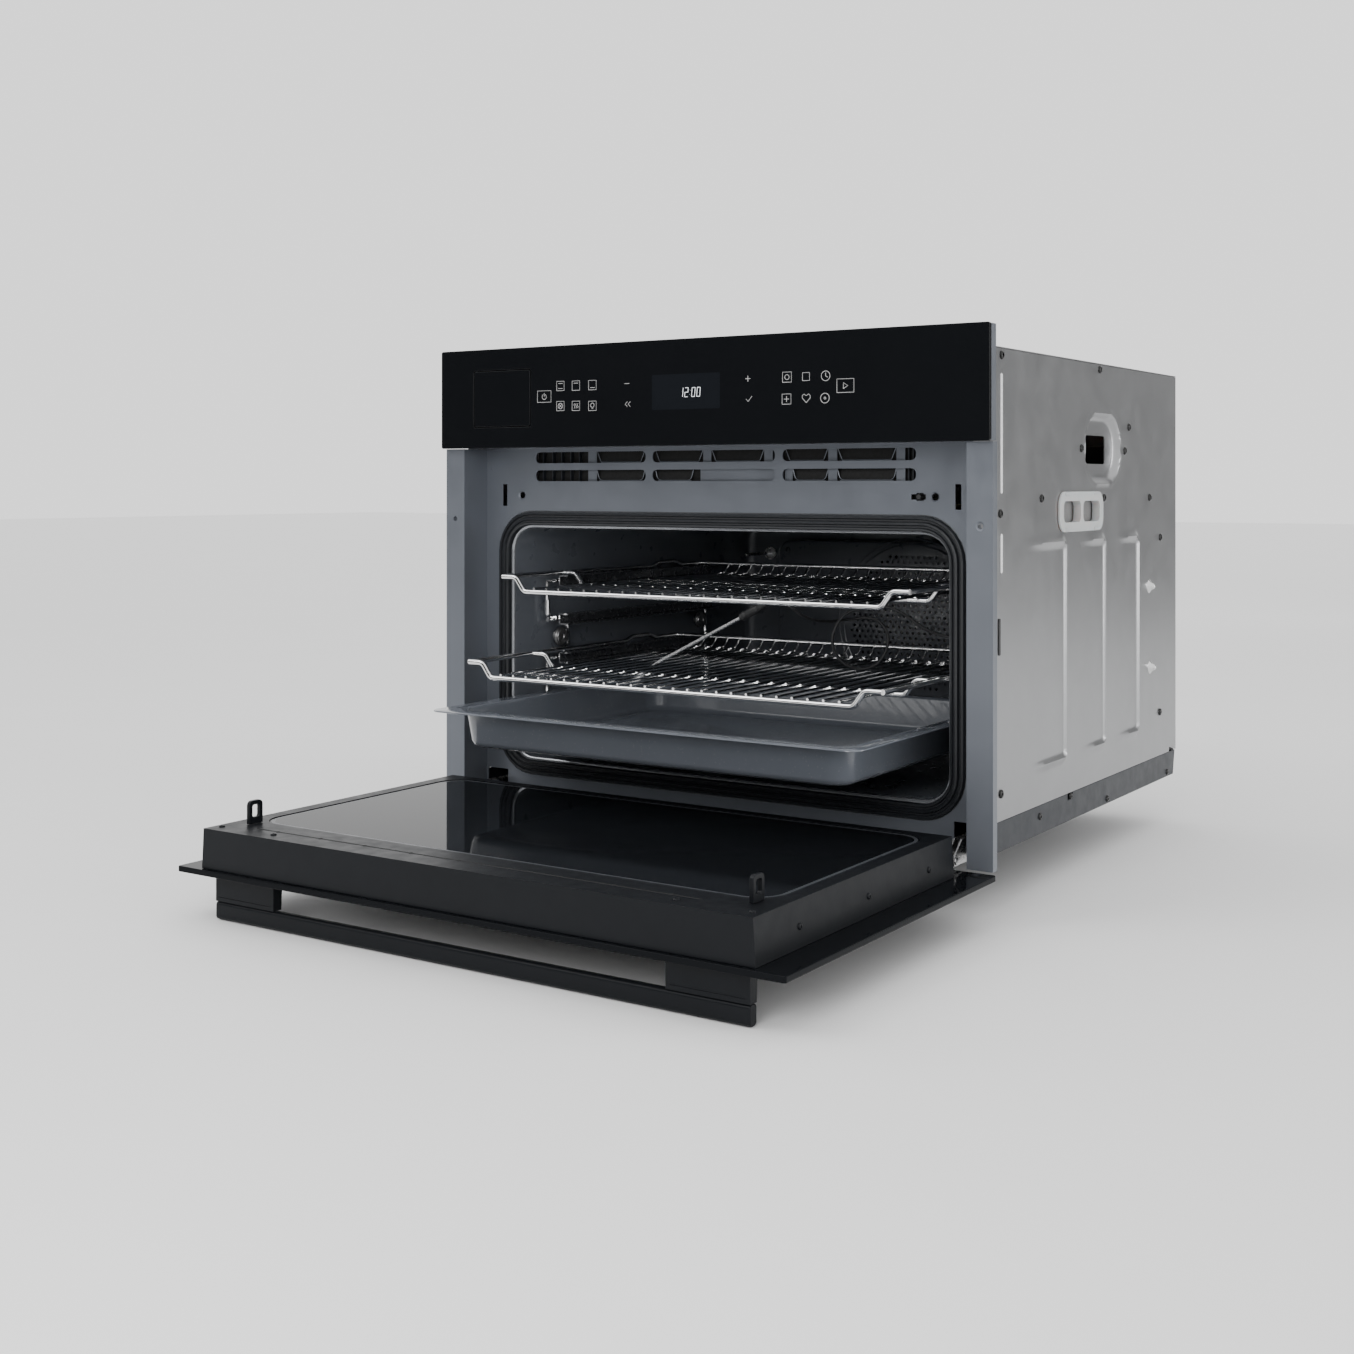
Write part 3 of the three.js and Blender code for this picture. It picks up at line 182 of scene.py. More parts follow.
def makeMottle():
    # cloudy change of colour and roughness over the surface
    group, start, end = startGroup(
        "mottle",
        [("Vector", "Vector", None), ("Scale", "Float", 20.0), ("Light", "Color", (0.5, 0.5, 0.5, 1)),
         ("Dark", "Color", (0.4, 0.4, 0.4, 1)), ("Smooth", "Float", 0.3), ("Rough", "Float", 0.4)],
        [("Color", "Color"), ("Roughness", "Float")])
    nodes, links = group.nodes, group.links
    noise = nodes.new("ShaderNodeTexNoise")
    noise.inputs["Detail"].default_value = 4
    mix = nodes.new("ShaderNodeMix")
    mix.data_type = "RGBA"
    fine = nodes.new("ShaderNodeTexNoise")
    fine.inputs["Detail"].default_value = 6
    finer = nodes.new("ShaderNodeMath")
    finer.operation = "MULTIPLY"
    finer.inputs[1].default_value = 3.7
    spread = nodes.new("ShaderNodeMapRange")
    spread.inputs["From Min"].default_value = 0.3
    spread.inputs["From Max"].default_value = 0.7
    links.new(start.outputs["Vector"], noise.inputs["Vector"])
    links.new(start.outputs["Scale"], noise.inputs["Scale"])
    links.new(noise.outputs["Fac"], mix.inputs["Factor"])
    links.new(start.outputs["Dark"], mix.inputs["A"])
    links.new(start.outputs["Light"], mix.inputs["B"])
    links.new(mix.outputs["Result"], end.inputs["Color"])
    links.new(start.outputs["Vector"], fine.inputs["Vector"])
    links.new(start.outputs["Scale"], finer.inputs[0])
    links.new(finer.outputs[0], fine.inputs["Scale"])
    links.new(fine.outputs["Fac"], spread.inputs["Value"])
    links.new(start.outputs["Smooth"], spread.inputs["To Min"])
    links.new(start.outputs["Rough"], spread.inputs["To Max"])
    links.new(spread.outputs["Result"], end.inputs["Roughness"])
    return group


def makeGrain():
    # fine relief: rolled, brushed, moulded or orange-peel, by its stretch and scale
    group, start, end = startGroup(
        "grain",
        [("Vector", "Vector", None), ("Scale", "Float", 900.0), ("Stretch", "Vector", (1, 1, 1)),
         ("Strength", "Float", 0.1), ("Depth", "Float", 0.0002)],
        [("Normal", "Vector"), ("Height", "Float")])
    nodes, links = group.nodes, group.links
    stretch = nodes.new("ShaderNodeVectorMath")
    stretch.operation = "MULTIPLY"
    noise = nodes.new("ShaderNodeTexNoise")
    noise.inputs["Detail"].default_value = 3
    bump = nodes.new("ShaderNodeBump")
    links.new(start.outputs["Vector"], stretch.inputs[0])
    links.new(start.outputs["Stretch"], stretch.inputs[1])
    links.new(stretch.outputs["Vector"], noise.inputs["Vector"])
    links.new(start.outputs["Scale"], noise.inputs["Scale"])
    links.new(start.outputs["Strength"], bump.inputs["Strength"])
    links.new(start.outputs["Depth"], bump.inputs["Distance"])
    links.new(noise.outputs["Fac"], bump.inputs["Height"])
    links.new(noise.outputs["Fac"], end.inputs["Height"])
    links.new(bump.outputs["Normal"], end.inputs["Normal"])
    return group


def makeSpecks():
    # scattered pale specks, as in vitreous enamel and galvanised spangle
    group, start, end = startGroup(
        "specks",
        [("Vector", "Vector", None), ("Scale", "Float", 400.0), ("Color", "Color", (0.1, 0.1, 0.1, 1)),
         ("Speck", "Color", (0.4, 0.4, 0.4, 1)), ("Size", "Float", 0.16), ("Amount", "Float", 0.6)],
        [("Color", "Color")])
    nodes, links = group.nodes, group.links
    cells = nodes.new("ShaderNodeTexVoronoi")
    near = nodes.new("ShaderNodeMath")
    near.operation = "LESS_THAN"
    some = nodes.new("ShaderNodeSeparateColor")
    rare = nodes.new("ShaderNodeMath")
    rare.operation = "LESS_THAN"
    rare.inputs[1].default_value = 0.35
    both = nodes.new("ShaderNodeMath")
    both.operation = "MULTIPLY"
    fade = nodes.new("ShaderNodeMath")
    fade.operation = "MULTIPLY"
    mix = nodes.new("ShaderNodeMix")
    mix.data_type = "RGBA"
    links.new(start.outputs["Vector"], cells.inputs["Vector"])
    links.new(start.outputs["Scale"], cells.inputs["Scale"])
    links.new(cells.outputs["Distance"], near.inputs[0])
    links.new(start.outputs["Size"], near.inputs[1])
    links.new(cells.outputs["Color"], some.inputs["Color"])
    links.new(some.outputs["Red"], rare.inputs[0])
    links.new(near.outputs[0], both.inputs[0])
    links.new(rare.outputs[0], both.inputs[1])
    links.new(both.outputs[0], fade.inputs[0])
    links.new(start.outputs["Amount"], fade.inputs[1])
    links.new(fade.outputs[0], mix.inputs["Factor"])
    links.new(start.outputs["Color"], mix.inputs["A"])
    links.new(start.outputs["Speck"], mix.inputs["B"])
    links.new(mix.outputs["Result"], end.inputs["Color"])
    return group


mottle, grain, specks = makeMottle(), makeGrain(), makeSpecks()


def gray(value, blue=0.0):
    return (value, value * (1 + blue * 0.35), value * (1 + blue), 1)


def makeFinish(name, light, dark, rough, scale=18, relief=None, speck=None, **sockets):
    # rough is the lowest and highest roughness; relief is the grain's scale, stretch, strength and depth
    material = bpy.data.materials.new(name)
    material.use_nodes = True
    nodes, links = material.node_tree.nodes, material.node_tree.links
    shader = nodes["Principled BSDF"]
    place = nodes.new("ShaderNodeTexCoord")
    tone = nodes.new("ShaderNodeGroup")
    tone.node_tree = mottle
    tone.inputs["Scale"].default_value = scale
    tone.inputs["Light"].default_value = light
    tone.inputs["Dark"].default_value = dark
    tone.inputs["Smooth"].default_value, tone.inputs["Rough"].default_value = rough
    links.new(place.outputs["Object"], tone.inputs["Vector"])
    links.new(tone.outputs["Roughness"], shader.inputs["Roughness"])
    color = tone.outputs["Color"]
    if speck:
        dots = nodes.new("ShaderNodeGroup")
        dots.node_tree = specks
        for key, value in speck.items():
            dots.inputs[key].default_value = value
        links.new(place.outputs["Object"], dots.inputs["Vector"])
        links.new(color, dots.inputs["Color"])
        color = dots.outputs["Color"]
    links.new(color, shader.inputs["Base Color"])
    if relief:
        skin = nodes.new("ShaderNodeGroup")
        skin.node_tree = grain
        for key, value in relief.items():
            skin.inputs[key].default_value = value
        links.new(place.outputs["Object"], skin.inputs["Vector"])
        links.new(skin.outputs["Normal"], shader.inputs["Normal"])
    for key, value in sockets.items():
        shader.inputs[key.replace("_", " ")].default_value = value
    return material


peel = {"Scale": 700.0, "Strength": 0.12, "Depth": 0.0003}
moulded = {"Scale": 2200.0, "Strength": 0.35, "Depth": 0.0002}
rolled = {"Scale": 120.0, "Stretch": (12, 0.6, 12), "Strength": 0.12, "Depth": 0.0003}
brushed = {"Scale": 400.0, "Stretch": (1, 10, 10), "Strength": 0.2, "Depth": 0.0002}

zincSheet = makeFinish("zincSheet", gray(0.33, 0.03), gray(0.30, 0.03), (0.28, 0.34), 9, rolled,
                       {"Scale": 130.0, "Speck": gray(0.35, 0.03), "Size": 0.5, "Amount": 0.1}, Metallic=0.85)
frameEnamel = makeFinish("frameEnamel", gray(0.160, 0.24), gray(0.142, 0.24), (0.30, 0.40), 14, peel,
                         Metallic=0.45, Specular_IOR_Level=0.5)
darkSheet = makeFinish("darkSheet", gray(0.020, 0.45), gray(0.016, 0.45), (0.38, 0.48), 20, peel, Metallic=0.3)
cavityEnamel = makeFinish("cavityEnamel", gray(0.105, 0.25), gray(0.085, 0.25), (0.26, 0.36), 16, peel,
                          {"Scale": 520.0, "Speck": gray(0.22, 0.1), "Size": 0.14, "Amount": 0.25},
                          Coat_Weight=0.2, Coat_Roughness=0.15)
trayEnamel = makeFinish("trayEnamel", gray(0.130, 0.28), gray(0.105, 0.28), (0.16, 0.26), 12, peel,
                        {"Scale": 460.0, "Speck": gray(0.34, 0.1), "Size": 0.15, "Amount": 0.45},
                        Coat_Weight=0.5, Coat_Roughness=0.08)
chromeWire = makeFinish("chromeWire", gray(0.86), gray(0.78), (0.08, 0.16), 60, None, Metallic=1.0)
darkWire = makeFinish("darkWire", gray(0.20, 0.1), gray(0.13, 0.1), (0.18, 0.30), 60, None, Metallic=0.8)
brightSteel = makeFinish("brightSteel", gray(0.62), gray(0.52), (0.22, 0.34), 60, brushed, Metallic=1.0)
blackGlass = makeFinish("blackGlass", gray(0.0060, 0.3), gray(0.005, 0.3), (0.10, 0.16), 9, None,
                        Specular_IOR_Level=0.16)
windowGlass = makeFinish("windowGlass", gray(0.009, 0.45), gray(0.008, 0.45), (0.10, 0.15), 9, None,
                         Specular_IOR_Level=0.16)
doorPane = makeFinish("doorPane", gray(0.006, 0.35), gray(0.005, 0.35), (0.03, 0.06), 9, None,
                      Specular_IOR_Level=0.05)
paneBorder = makeFinish("paneBorder", gray(0.055, 0.2), gray(0.045, 0.2), (0.3, 0.4), 30, None)
satinBlack = makeFinish("satinBlack", gray(0.0075, 0.4), gray(0.006, 0.4), (0.34, 0.44), 20, peel,
                        Specular_IOR_Level=0.14)
blackPlastic = makeFinish("blackPlastic", gray(0.014, 0.1), gray(0.011, 0.1), (0.45, 0.58), 40, moulded)
grayPlastic = makeFinish("grayPlastic", gray(0.50), gray(0.44), (0.38, 0.5), 40, moulded,
                         Subsurface_Weight=0.1)
flapGray = makeFinish("flapGray", gray(0.20), gray(0.16), (0.38, 0.5), 40, moulded)
clearPlastic = makeFinish("clearPlastic", (0.72, 0.79, 0.84, 1), (0.66, 0.74, 0.80, 1), (0.12, 0.2), 30, None,
                          Transmission_Weight=0.55, IOR=1.5)
silicone = makeFinish("silicone", gray(0.016, 0.3), gray(0.012, 0.3), (0.28, 0.4), 50, moulded)
# painted highlight: a pale, glossy grey for the liner's rounded mouth lip, standing for the light that the lip reflects
paintedLipHighlight = makeFinish("paintedLipHighlight", gray(0.30, 0.1), gray(0.24, 0.1), (0.16, 0.24), 20, None, Metallic=0.6)
glassWool = makeFinish("glassWool", (0.62, 0.56, 0.38, 1), (0.40, 0.35, 0.22, 1), (0.9, 1.0), 120,
                       {"Scale": 300.0, "Stretch": (1, 4, 4), "Strength": 0.9, "Depth": 0.002})
circuitGreen = makeFinish("circuitGreen", (0.03, 0.16, 0.07, 1), (0.02, 0.11, 0.05, 1), (0.3, 0.45), 90,
                          {"Scale": 260.0, "Stretch": (6, 1, 1), "Strength": 0.3, "Depth": 0.0003})
ceramic = makeFinish("ceramic", gray(0.78), gray(0.70), (0.25, 0.4), 40, moulded)
leadBraid = makeFinish("leadBraid", gray(0.030, 0.1), gray(0.014, 0.1), (0.4, 0.6), 900,
                       {"Scale": 1500.0, "Strength": 0.8, "Depth": 0.0004})
whitePrint = makeFinish("whitePrint", gray(0.52), gray(0.42), (0.4, 0.5), 200, None,
                        Emission_Color=gray(0.8), Emission_Strength=0.12)
clockGlow = makeFinish("clockGlow", gray(0.8), gray(0.7), (0.4, 0.5), 200, None,
                       Emission_Color=(0.85, 0.92, 1, 1), Emission_Strength=0.9)
screwZinc = makeFinish("screwZinc", gray(0.75), gray(0.6), (0.16, 0.28), 300, None, Metallic=1.0)
# painted shade: the side screws are a near-black metal, so that each head reads dark like the shadowed ring round it
paintedShadeScrewZinc = makeFinish("paintedShadeScrewZinc", gray(0.045), gray(0.03), (0.14, 0.26), 300, None, Metallic=1.0)
# painted highlight: near white, for thin strips that stand for the bright bend at the front of each side panel
paintedEdgeHighlight = makeFinish("paintedEdgeHighlight", gray(0.92), gray(0.85), (0.2, 0.3), 60, None)
nutSteel = makeFinish("nutSteel", gray(0.34), gray(0.26), (0.26, 0.36), 120, brushed, Metallic=0.9)
# painted shade: near black for the insides of the vents and for the door seam's groove and dots, where shade falls
paintedHollowShade = makeFinish("paintedHollowShade", gray(0.004), gray(0.003), (0.7, 0.8), 100, None)
print("finishes made:", len(bpy.data.materials))


# ---- how the pieces are made ----
def addBlock(bm, x, y, z):
    made = bmesh.ops.create_cube(bm, size=1)["verts"]
    bmesh.ops.scale(bm, vec=[high - low for low, high in (x, y, z)], verts=made)
    bmesh.ops.translate(bm, vec=[(low + high) / 2 for low, high in (x, y, z)], verts=made)
    return made


def addRounded(bm, x, y, z, axis, radius, segments=8):
    # a block with its four edges along one axis rounded
    known = set(bm.verts)
    verts = addBlock(bm, x, y, z)
    edges = {edge for vert in verts for edge in vert.link_edges}
    along = [e for e in edges if abs((e.verts[1].co - e.verts[0].co).normalized()[axis]) > 0.9]
    bmesh.ops.bevel(bm, geom=along, offset=radius, segments=segments, profile=0.5, affect="EDGES",
                    material=-1, clamp_overlap=True)
    return [vert for vert in bm.verts if vert not in known]


def towards(start, way):
    return Matrix.Translation(start) @ Vector(way).to_track_quat("Z", "Y").to_matrix().to_4x4()


def addRod(bm, start, end, radius, sides=20, endRadius=None):
    start, end = Vector(start), Vector(end)
    made = bmesh.ops.create_cone(
        bm, cap_ends=True, cap_tris=False, segments=sides, radius1=radius,
        radius2=radius if endRadius is None else endRadius, depth=(end - start).length,
        matrix=towards((start + end) / 2, end - start))
    return made["verts"]


def addTurned(bm, profile, start, way, sides=24):
    # profile points are (distance along, radius), and start and end on the axis
    known = set(bm.verts)
    verts = [bm.verts.new((radius, 0, along)) for along, radius in profile]
    edges = [bm.edges.new(pair) for pair in zip(verts, verts[1:])]
    bmesh.ops.spin(bm, geom=verts + edges, cent=(0, 0, 0), axis=(0, 0, 1), angle=2 * pi, steps=sides,
                   use_merge=True, use_duplicate=False)
    made = [vert for vert in bm.verts if vert not in known]
    bmesh.ops.remove_doubles(bm, verts=made, dist=1e-6)
    made = [vert for vert in bm.verts if vert not in known]
    bmesh.ops.recalc_face_normals(bm, faces=list({face for vert in made for face in vert.link_faces}))
    bmesh.ops.transform(bm, matrix=towards(start, way), verts=made)
    return made


def addLoop(bm, x, z, y, radius, segments=7):
    # a rounded rectangle of edges across Y
    known = set(bm.faces)
    corners = [bm.verts.new(p) for p in ((x[0], y, z[0]), (x[1], y, z[0]), (x[1], y, z[1]), (x[0], y, z[1]))]
    bm.faces.new(corners)
    bmesh.ops.bevel(bm, geom=corners, offset=radius, segments=segments, profile=0.5, affect="VERTICES",
                    material=-1)
    face = next(f for f in bm.faces if f not in known)
    edges = list(face.edges)
    bmesh.ops.delete(bm, geom=[face], context="FACES_ONLY")
    return edges


def addMouthRing(bm, stations, closed):
    # rings round the cavity mouth, each at (margin, y), joined one to the next
    loops = [addLoop(bm, (cavity.x0 - margin, cavity.x1 + margin), (cavity.z0 - margin, cavity.z1 + margin),
                     y, cavityRadius + margin) for margin, y in stations]
    for a, b in zip(loops, loops[1:]):
        bmesh.ops.bridge_loops(bm, edges=a + b)
    if closed:
        bmesh.ops.bridge_loops(bm, edges=loops[-1] + loops[0])
    return loops


def roundedPath(points, bend, steps=5, closed=False):
    # the points with each corner eased over the length of the bend
    points = [Vector(p) for p in points]
    ring = [points[-1], *points, points[0]] if closed else points
    path = [] if closed else [points[0]]
    for before, corner, after in zip(ring, ring[1:], ring[2:]):
        back, on = before - corner, after - corner
        reach = min(bend, back.length * 0.45, on.length * 0.45)
        a, c = corner + back.normalized() * reach, corner + on.normalized() * reach
        path += [a.lerp(corner, i / steps).lerp(corner.lerp(c, i / steps), i / steps) for i in range(steps + 1)]
    return path if closed else [*path, points[-1]]


def addWires(bm, paths, radius, closed=False, resolution=2):
    curve = bpy.data.curves.new("wires", "CURVE")
    curve.dimensions = "3D"
    curve.bevel_depth = radius
    curve.bevel_resolution = resolution
    curve.use_fill_caps = True
    for path in paths:
        spline = curve.splines.new("POLY")
        spline.points.add(len(path) - 1)
        spline.use_cyclic_u = closed
        for point, place in zip(spline.points, path):
            point.co = (*place, 1)
    holder = bpy.data.objects.new("wires", curve)
    bpy.context.scene.collection.objects.link(holder)
    mesh = bpy.data.meshes.new_from_object(holder.evaluated_get(bpy.context.evaluated_depsgraph_get()))
    known = set(bm.verts)
    bm.from_mesh(mesh)
    bpy.data.objects.remove(holder)
    bpy.data.meshes.remove(mesh)
    made = [vert for vert in bm.verts if vert not in known]
    bmesh.ops.remove_doubles(bm, verts=made, dist=1e-6)
    return made


def paint(bm, verts, index):
    for face in {face for vert in verts if vert.is_valid for face in vert.link_faces}:
        face.material_index = index


def meshObject(name, bm):
    mesh = bpy.data.meshes.new(name)
    bm.to_mesh(mesh)
    bm.free()
    made = bpy.data.objects.new(name, mesh)
    bpy.context.scene.collection.objects.link(made)
    return made


def applyModifiers(piece):
    mesh = bpy.data.meshes.new_from_object(piece.evaluated_get(bpy.context.evaluated_depsgraph_get()))
    piece.modifiers.clear()
    piece.data = mesh


def cutOut(piece, cutter):
    tool = meshObject("cutter", cutter)
    cut = piece.modifiers.new("cut", "BOOLEAN")
    cut.operation = "DIFFERENCE"
    cut.solver = "EXACT"
    cut.object = tool
    applyModifiers(piece)
    bpy.data.objects.remove(tool)


def cleanMesh(piece):
    # flat faces made whole again, so that only true edges are rounded
    bm = bmesh.new()
    bm.from_mesh(piece.data)
    bmesh.ops.remove_doubles(bm, verts=bm.verts, dist=1e-6)
    bmesh.ops.dissolve_limit(bm, angle_limit=radians(1), verts=bm.verts, edges=bm.edges, delimit={"MATERIAL"})
    bm.to_mesh(piece.data)
    bm.free()


def softenEdges(piece, width, segments=2, angle=32):
    bevel = piece.modifiers.new("edges", "BEVEL")
    bevel.width = width
    bevel.segments = segments
    bevel.limit_method = "ANGLE"
    bevel.angle_limit = radians(angle)
    weighted = piece.modifiers.new("flat faces", "WEIGHTED_NORMAL")
    weighted.keep_sharp = True


def makePiece(name, bm, finishes, body, nodes=(), edge=None, cutter=None, wall=None, sharp=38):
    piece = meshObject(name, bm)
    if wall:
        solid = piece.modifiers.new("wall", "SOLIDIFY")
        solid.thickness = wall
        solid.offset = -1
        solid.use_even_offset = True
        applyModifiers(piece)
    if cutter:
        cutOut(piece, cutter)
    finishes = finishes if isinstance(finishes, (list, tuple)) else [finishes]
    for finish in finishes:
        piece.data.materials.append(finish)
    piece.data.polygons.foreach_set("use_smooth", [True] * len(piece.data.polygons))
    if edge:
        cleanMesh(piece)
        softenEdges(piece, edge)
    else:
        piece.data.set_sharp_from_angle(angle=radians(sharp))
    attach(piece, body)
    if nodes:
        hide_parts(*nodes)
    return piece


def nodeCopy(*names):
    # merged, cleaned copies of CAD nodes in one bmesh
    bm = bmesh.new()
    for name in names:
        bm.from_mesh(frame["nodes"][name].data)
    bmesh.ops.remove_doubles(bm, verts=bm.verts, dist=1e-6)
    return bm


def paintFaces(piece, index, test):
    for face in piece.data.polygons:
        if test(face.center, face.normal):
            face.material_index = index


def faceTowards(bm, way):
    # turns the whole skin so that its flattest large face looks the way asked
    bmesh.ops.recalc_face_normals(bm, faces=bm.faces)
    way = Vector(way)
    widest = max(bm.faces, key=lambda face: abs(face.normal.dot(way)) * face.calc_area())
    if widest.normal.dot(way) < 0:
        bmesh.ops.reverse_faces(bm, faces=bm.faces)


def addScrew(bm, place, way, radius=3.4 * mm, sides=16):
    head = radius * 0.5
    profile = [(-0.0004, 0), (-0.0004, radius), (head * 0.35, radius), (head * 0.8, radius * 0.84),
               (head, radius * 0.55), (head, radius * 0.36), (head * 0.35, radius * 0.28), (head * 0.3, 0)]
    return addTurned(bm, profile, place, way, sides)


def smoothStep(value, low, high):
    t = min(max((value - low) / (high - low), 0), 1)
    return t * t * (3 - 2 * t)


def addSheet(bm, low, high, normal, step, relief):
    # a fine grid between two corners, pressed along its normal by relief(point)
    low, high, normal = Vector(low), Vector(high), Vector(normal)
    middle, size = (low + high) / 2, high - low
    facing = normal.to_track_quat("Z", "Y").to_matrix().to_4x4()
    across, up = facing.col[0].xyz, facing.col[1].xyz
    width, height = abs(across.dot(size)), abs(up.dot(size))
    bmesh.ops.create_grid(bm, x_segments=round(width / step), y_segments=round(height / step), size=0.5,
                          matrix=Matrix.Translation(middle) @ facing @ Matrix.Diagonal((width, height, 1, 1)))
    for vert in bm.verts:
        vert.co += normal * relief(vert.co)


# ---- front frame and vents ----
frontSet = {"edge": 0.0003, "dish": 4.6 * mm, "lockX": 0.228, "lockZ": 0.307, "flangeX": 0.2855,
            "flangeZ": 0.283, "keySlot": ((0.2055, 0.2195), (0.3046, 0.3092)), "dimpleZ": (0.062, 0.171, 0.334), "dimpleX": 0.266}


def makeFrontFrame(s):
    bm = nodeCopy("front_frame")
    cutter = bmesh.new()
    for side in sides.values():
        place = (side * s["lockX"], recess.y1 - 1.3 * mm, s["lockZ"])
        addRod(cutter, place, (place[0], recess.y1 + 0.001, place[2]), s["dish"], 24, 0.0021)
        for z in s["dimpleZ"]:
            addRod(cutter, (side * s["dimpleX"], recessFace - 0.001, z),
                   (side * s["dimpleX"], recessFace + 0.0004, z), 0.0022, 16)
    addRod(cutter, (s["flangeX"], recess.y0 + 0.001, s["flangeZ"]), (s["flangeX"], recess.y0 - 0.001, s["flangeZ"]),
           2.6 * mm, 28, 5.4 * mm)
    (x0, x1), (z0, z1) = s["keySlot"]
    addBlock(cutter, (x0, x1), (recess.y1 - 0.003, recess.y1 + 0.003), (z0, z1))
    makePiece("frontFrame", bm, frameEnamel, "oven", ["front_frame"], s["edge"], cutter)


makeFrontFrame(frontSet)

ventSet = {
    "rows": {"top": (0.3372, 0.3518), "bottom": (0.3192, 0.3338)},
    "scoops": {"top": [(-137.6, -80), (-68, -13), (-4, 54), (76, 121), (130, 189)],
               "bottom": [(-137.6, -80), (-68, -24), (84, 121), (130, 189)]},
    "tabs": {"top": [(-148, -137.6), (-13, -4), (54, 63), (121, 130), (189, 197.6)],
             "bottom": [(-148, -137.6), (-16, 68), (76, 84), (121, 130), (189, 197.6)]},
    "fins": (-205, -193, -181.7, -170.4, -159.8, 200.5, 204.8),
    "lean": 5.0, "lip": 0.42 * mm, "sheet": 0.7 * mm,
}


def makeVents(s):
    grille = span("vent_grille")
    bm = bmesh.new()
    # the back of the grille is painted near black, as the shade inside the vents
    back = addBlock(bm, (grille.x0, grille.x1), (grille.y1 - 0.0006, grille.y1), (grille.z0, grille.z1))
    paint(bm, back, 1)
    for row, (z0, z1) in s["rows"].items():
        for x0, x1 in s["tabs"][row]:
            addBlock(bm, (x0 * mm, x1 * mm), (grille.y0, grille.y0 + s["sheet"]), (z0, z1))
        for x0, x1 in s["scoops"][row]:
            top = z1 if row == "top" else z1 - 0.001
            low = z0 + 0.0026
            lean = s["lean"] if row == "top" else s["lean"] * 0.6
            y = grille.y0 + s["lip"]
            route = [(x0 * mm, y, top), ((x0 + lean) * mm, y, low), ((x1 - lean) * mm, y, low), (x1 * mm, y, top)]
            addWires(bm, [roundedPath(route, (1.5 if row == "top" else 4.5) * mm)], s["lip"])
            addBlock(bm, ((x0 + lean) * mm, (x1 - lean) * mm), (y - 0.0002, y + 0.0004), (z0, low))
            sheet = addBlock(bm, ((x0 + lean) * mm, (x1 - lean) * mm), (0, 0.0005), (0, top - low))
            bmesh.ops.rotate(bm, cent=(0, 0, 0), matrix=Matrix.Rotation(radians(-14), 3, "X"), verts=sheet)
            bmesh.ops.translate(bm, vec=(0, y + 0.0006, low), verts=sheet)
            # the scoop sheets are painted near black, as the shade inside each scoop
            paint(bm, sheet, 2)
    for x in s["fins"]:
        fin = addBlock(bm, (x * mm - 0.0005, x * mm + 0.0005), (grille.y0 + 0.0008, grille.y1 - 0.0004),
                       (grille.z0 + 0.001, grille.z1 - 0.001))
        paint(bm, fin, 3)
    makePiece("ventGrille", bm, [frameEnamel, paintedHollowShade, paintedHollowShade, darkSheet], "oven", ["vent_grille"])


makeVents(ventSet)
print("front made")

# ---- control panel ----
panelSet = {"corner": 2 * mm, "edge": 0.0005, "print": 0.00012, "stroke": 0.24 * mm,
            "display": (-0.039, 0.0357, 0.387, 0.4196)}


def makeControlGlass(s):
    tank = span("tank_front")
    bm = bmesh.new()
    addRounded(bm, (panel.x0, panel.x1), (panel.y0 + s["print"], panel.y1), (panel.z0, panel.z1), 1, s["corner"], 5)
    cutter = bmesh.new()
    grow = 0.8 * mm
    addRounded(cutter, (tank.x0 - grow, tank.x1 + grow), (panel.y0 - 0.01, panel.y1 + 0.01),
               (tank.z0 - grow, tank.z1 + grow), 1, s["corner"], 5)
    makePiece("controlGlass", bm, blackGlass, "oven", ["control_glass"], s["edge"], cutter)
    bm = bmesh.new()
    x0, x1, z0, z1 = s["display"]
    addRounded(bm, (x0, x1), (panel.y0 + 0.00006, panel.y0 + 0.0006), (z0, z1), 1, 1.2 * mm, 4)
    makePiece("displayWindow", bm, windowGlass, "oven")
    bm = nodeCopy("control_carrier")
    makePiece("controlCarrier", bm, frameEnamel, "oven", ["control_carrier"], 0.0004)


makeControlGlass(panelSet)


def circlePoints(x, z, radius, start=0, turn=360, steps=20):
    return [(x + radius * cos(radians(start + turn * i / steps)), z + radius * sin(radians(start + turn * i / steps)))
            for i in range(steps + 1)]


def boxPoints(x, z, width, height):
    w, h = width / 2, height / 2
    return [(x - w, z - h), (x + w, z - h), (x + w, z + h), (x - w, z + h), (x - w, z - h)]


def digitStrokes(figure, x, z, width, height, slant):
    lit = {"0": "abcdef", "1": "bc", "2": "abged", ":": ""}[figure]
    w, h = width / 2, height / 2
    ends = {"a": (-w, h, w, h), "b": (w, h, w, 0), "c": (w, 0, w, -h), "d": (-w, -h, w, -h),
            "e": (-w, 0, -w, -h), "f": (-w, h, -w, 0), "g": (-w, 0, w, 0)}
    strokes = []
    for name in lit:
        x0, z0, x1, z1 = (value * 0.88 for value in ends[name])
        strokes.append([(x + x0 + slant * z0, z + z0), (x + x1 + slant * z1, z + z1)])
    if figure == ":":
        for dz in (-h * 0.4, h * 0.4):
            strokes.append([(x + slant * dz - 0.1, z + dz), (x + slant * dz + 0.1, z + dz)])
    return strokes


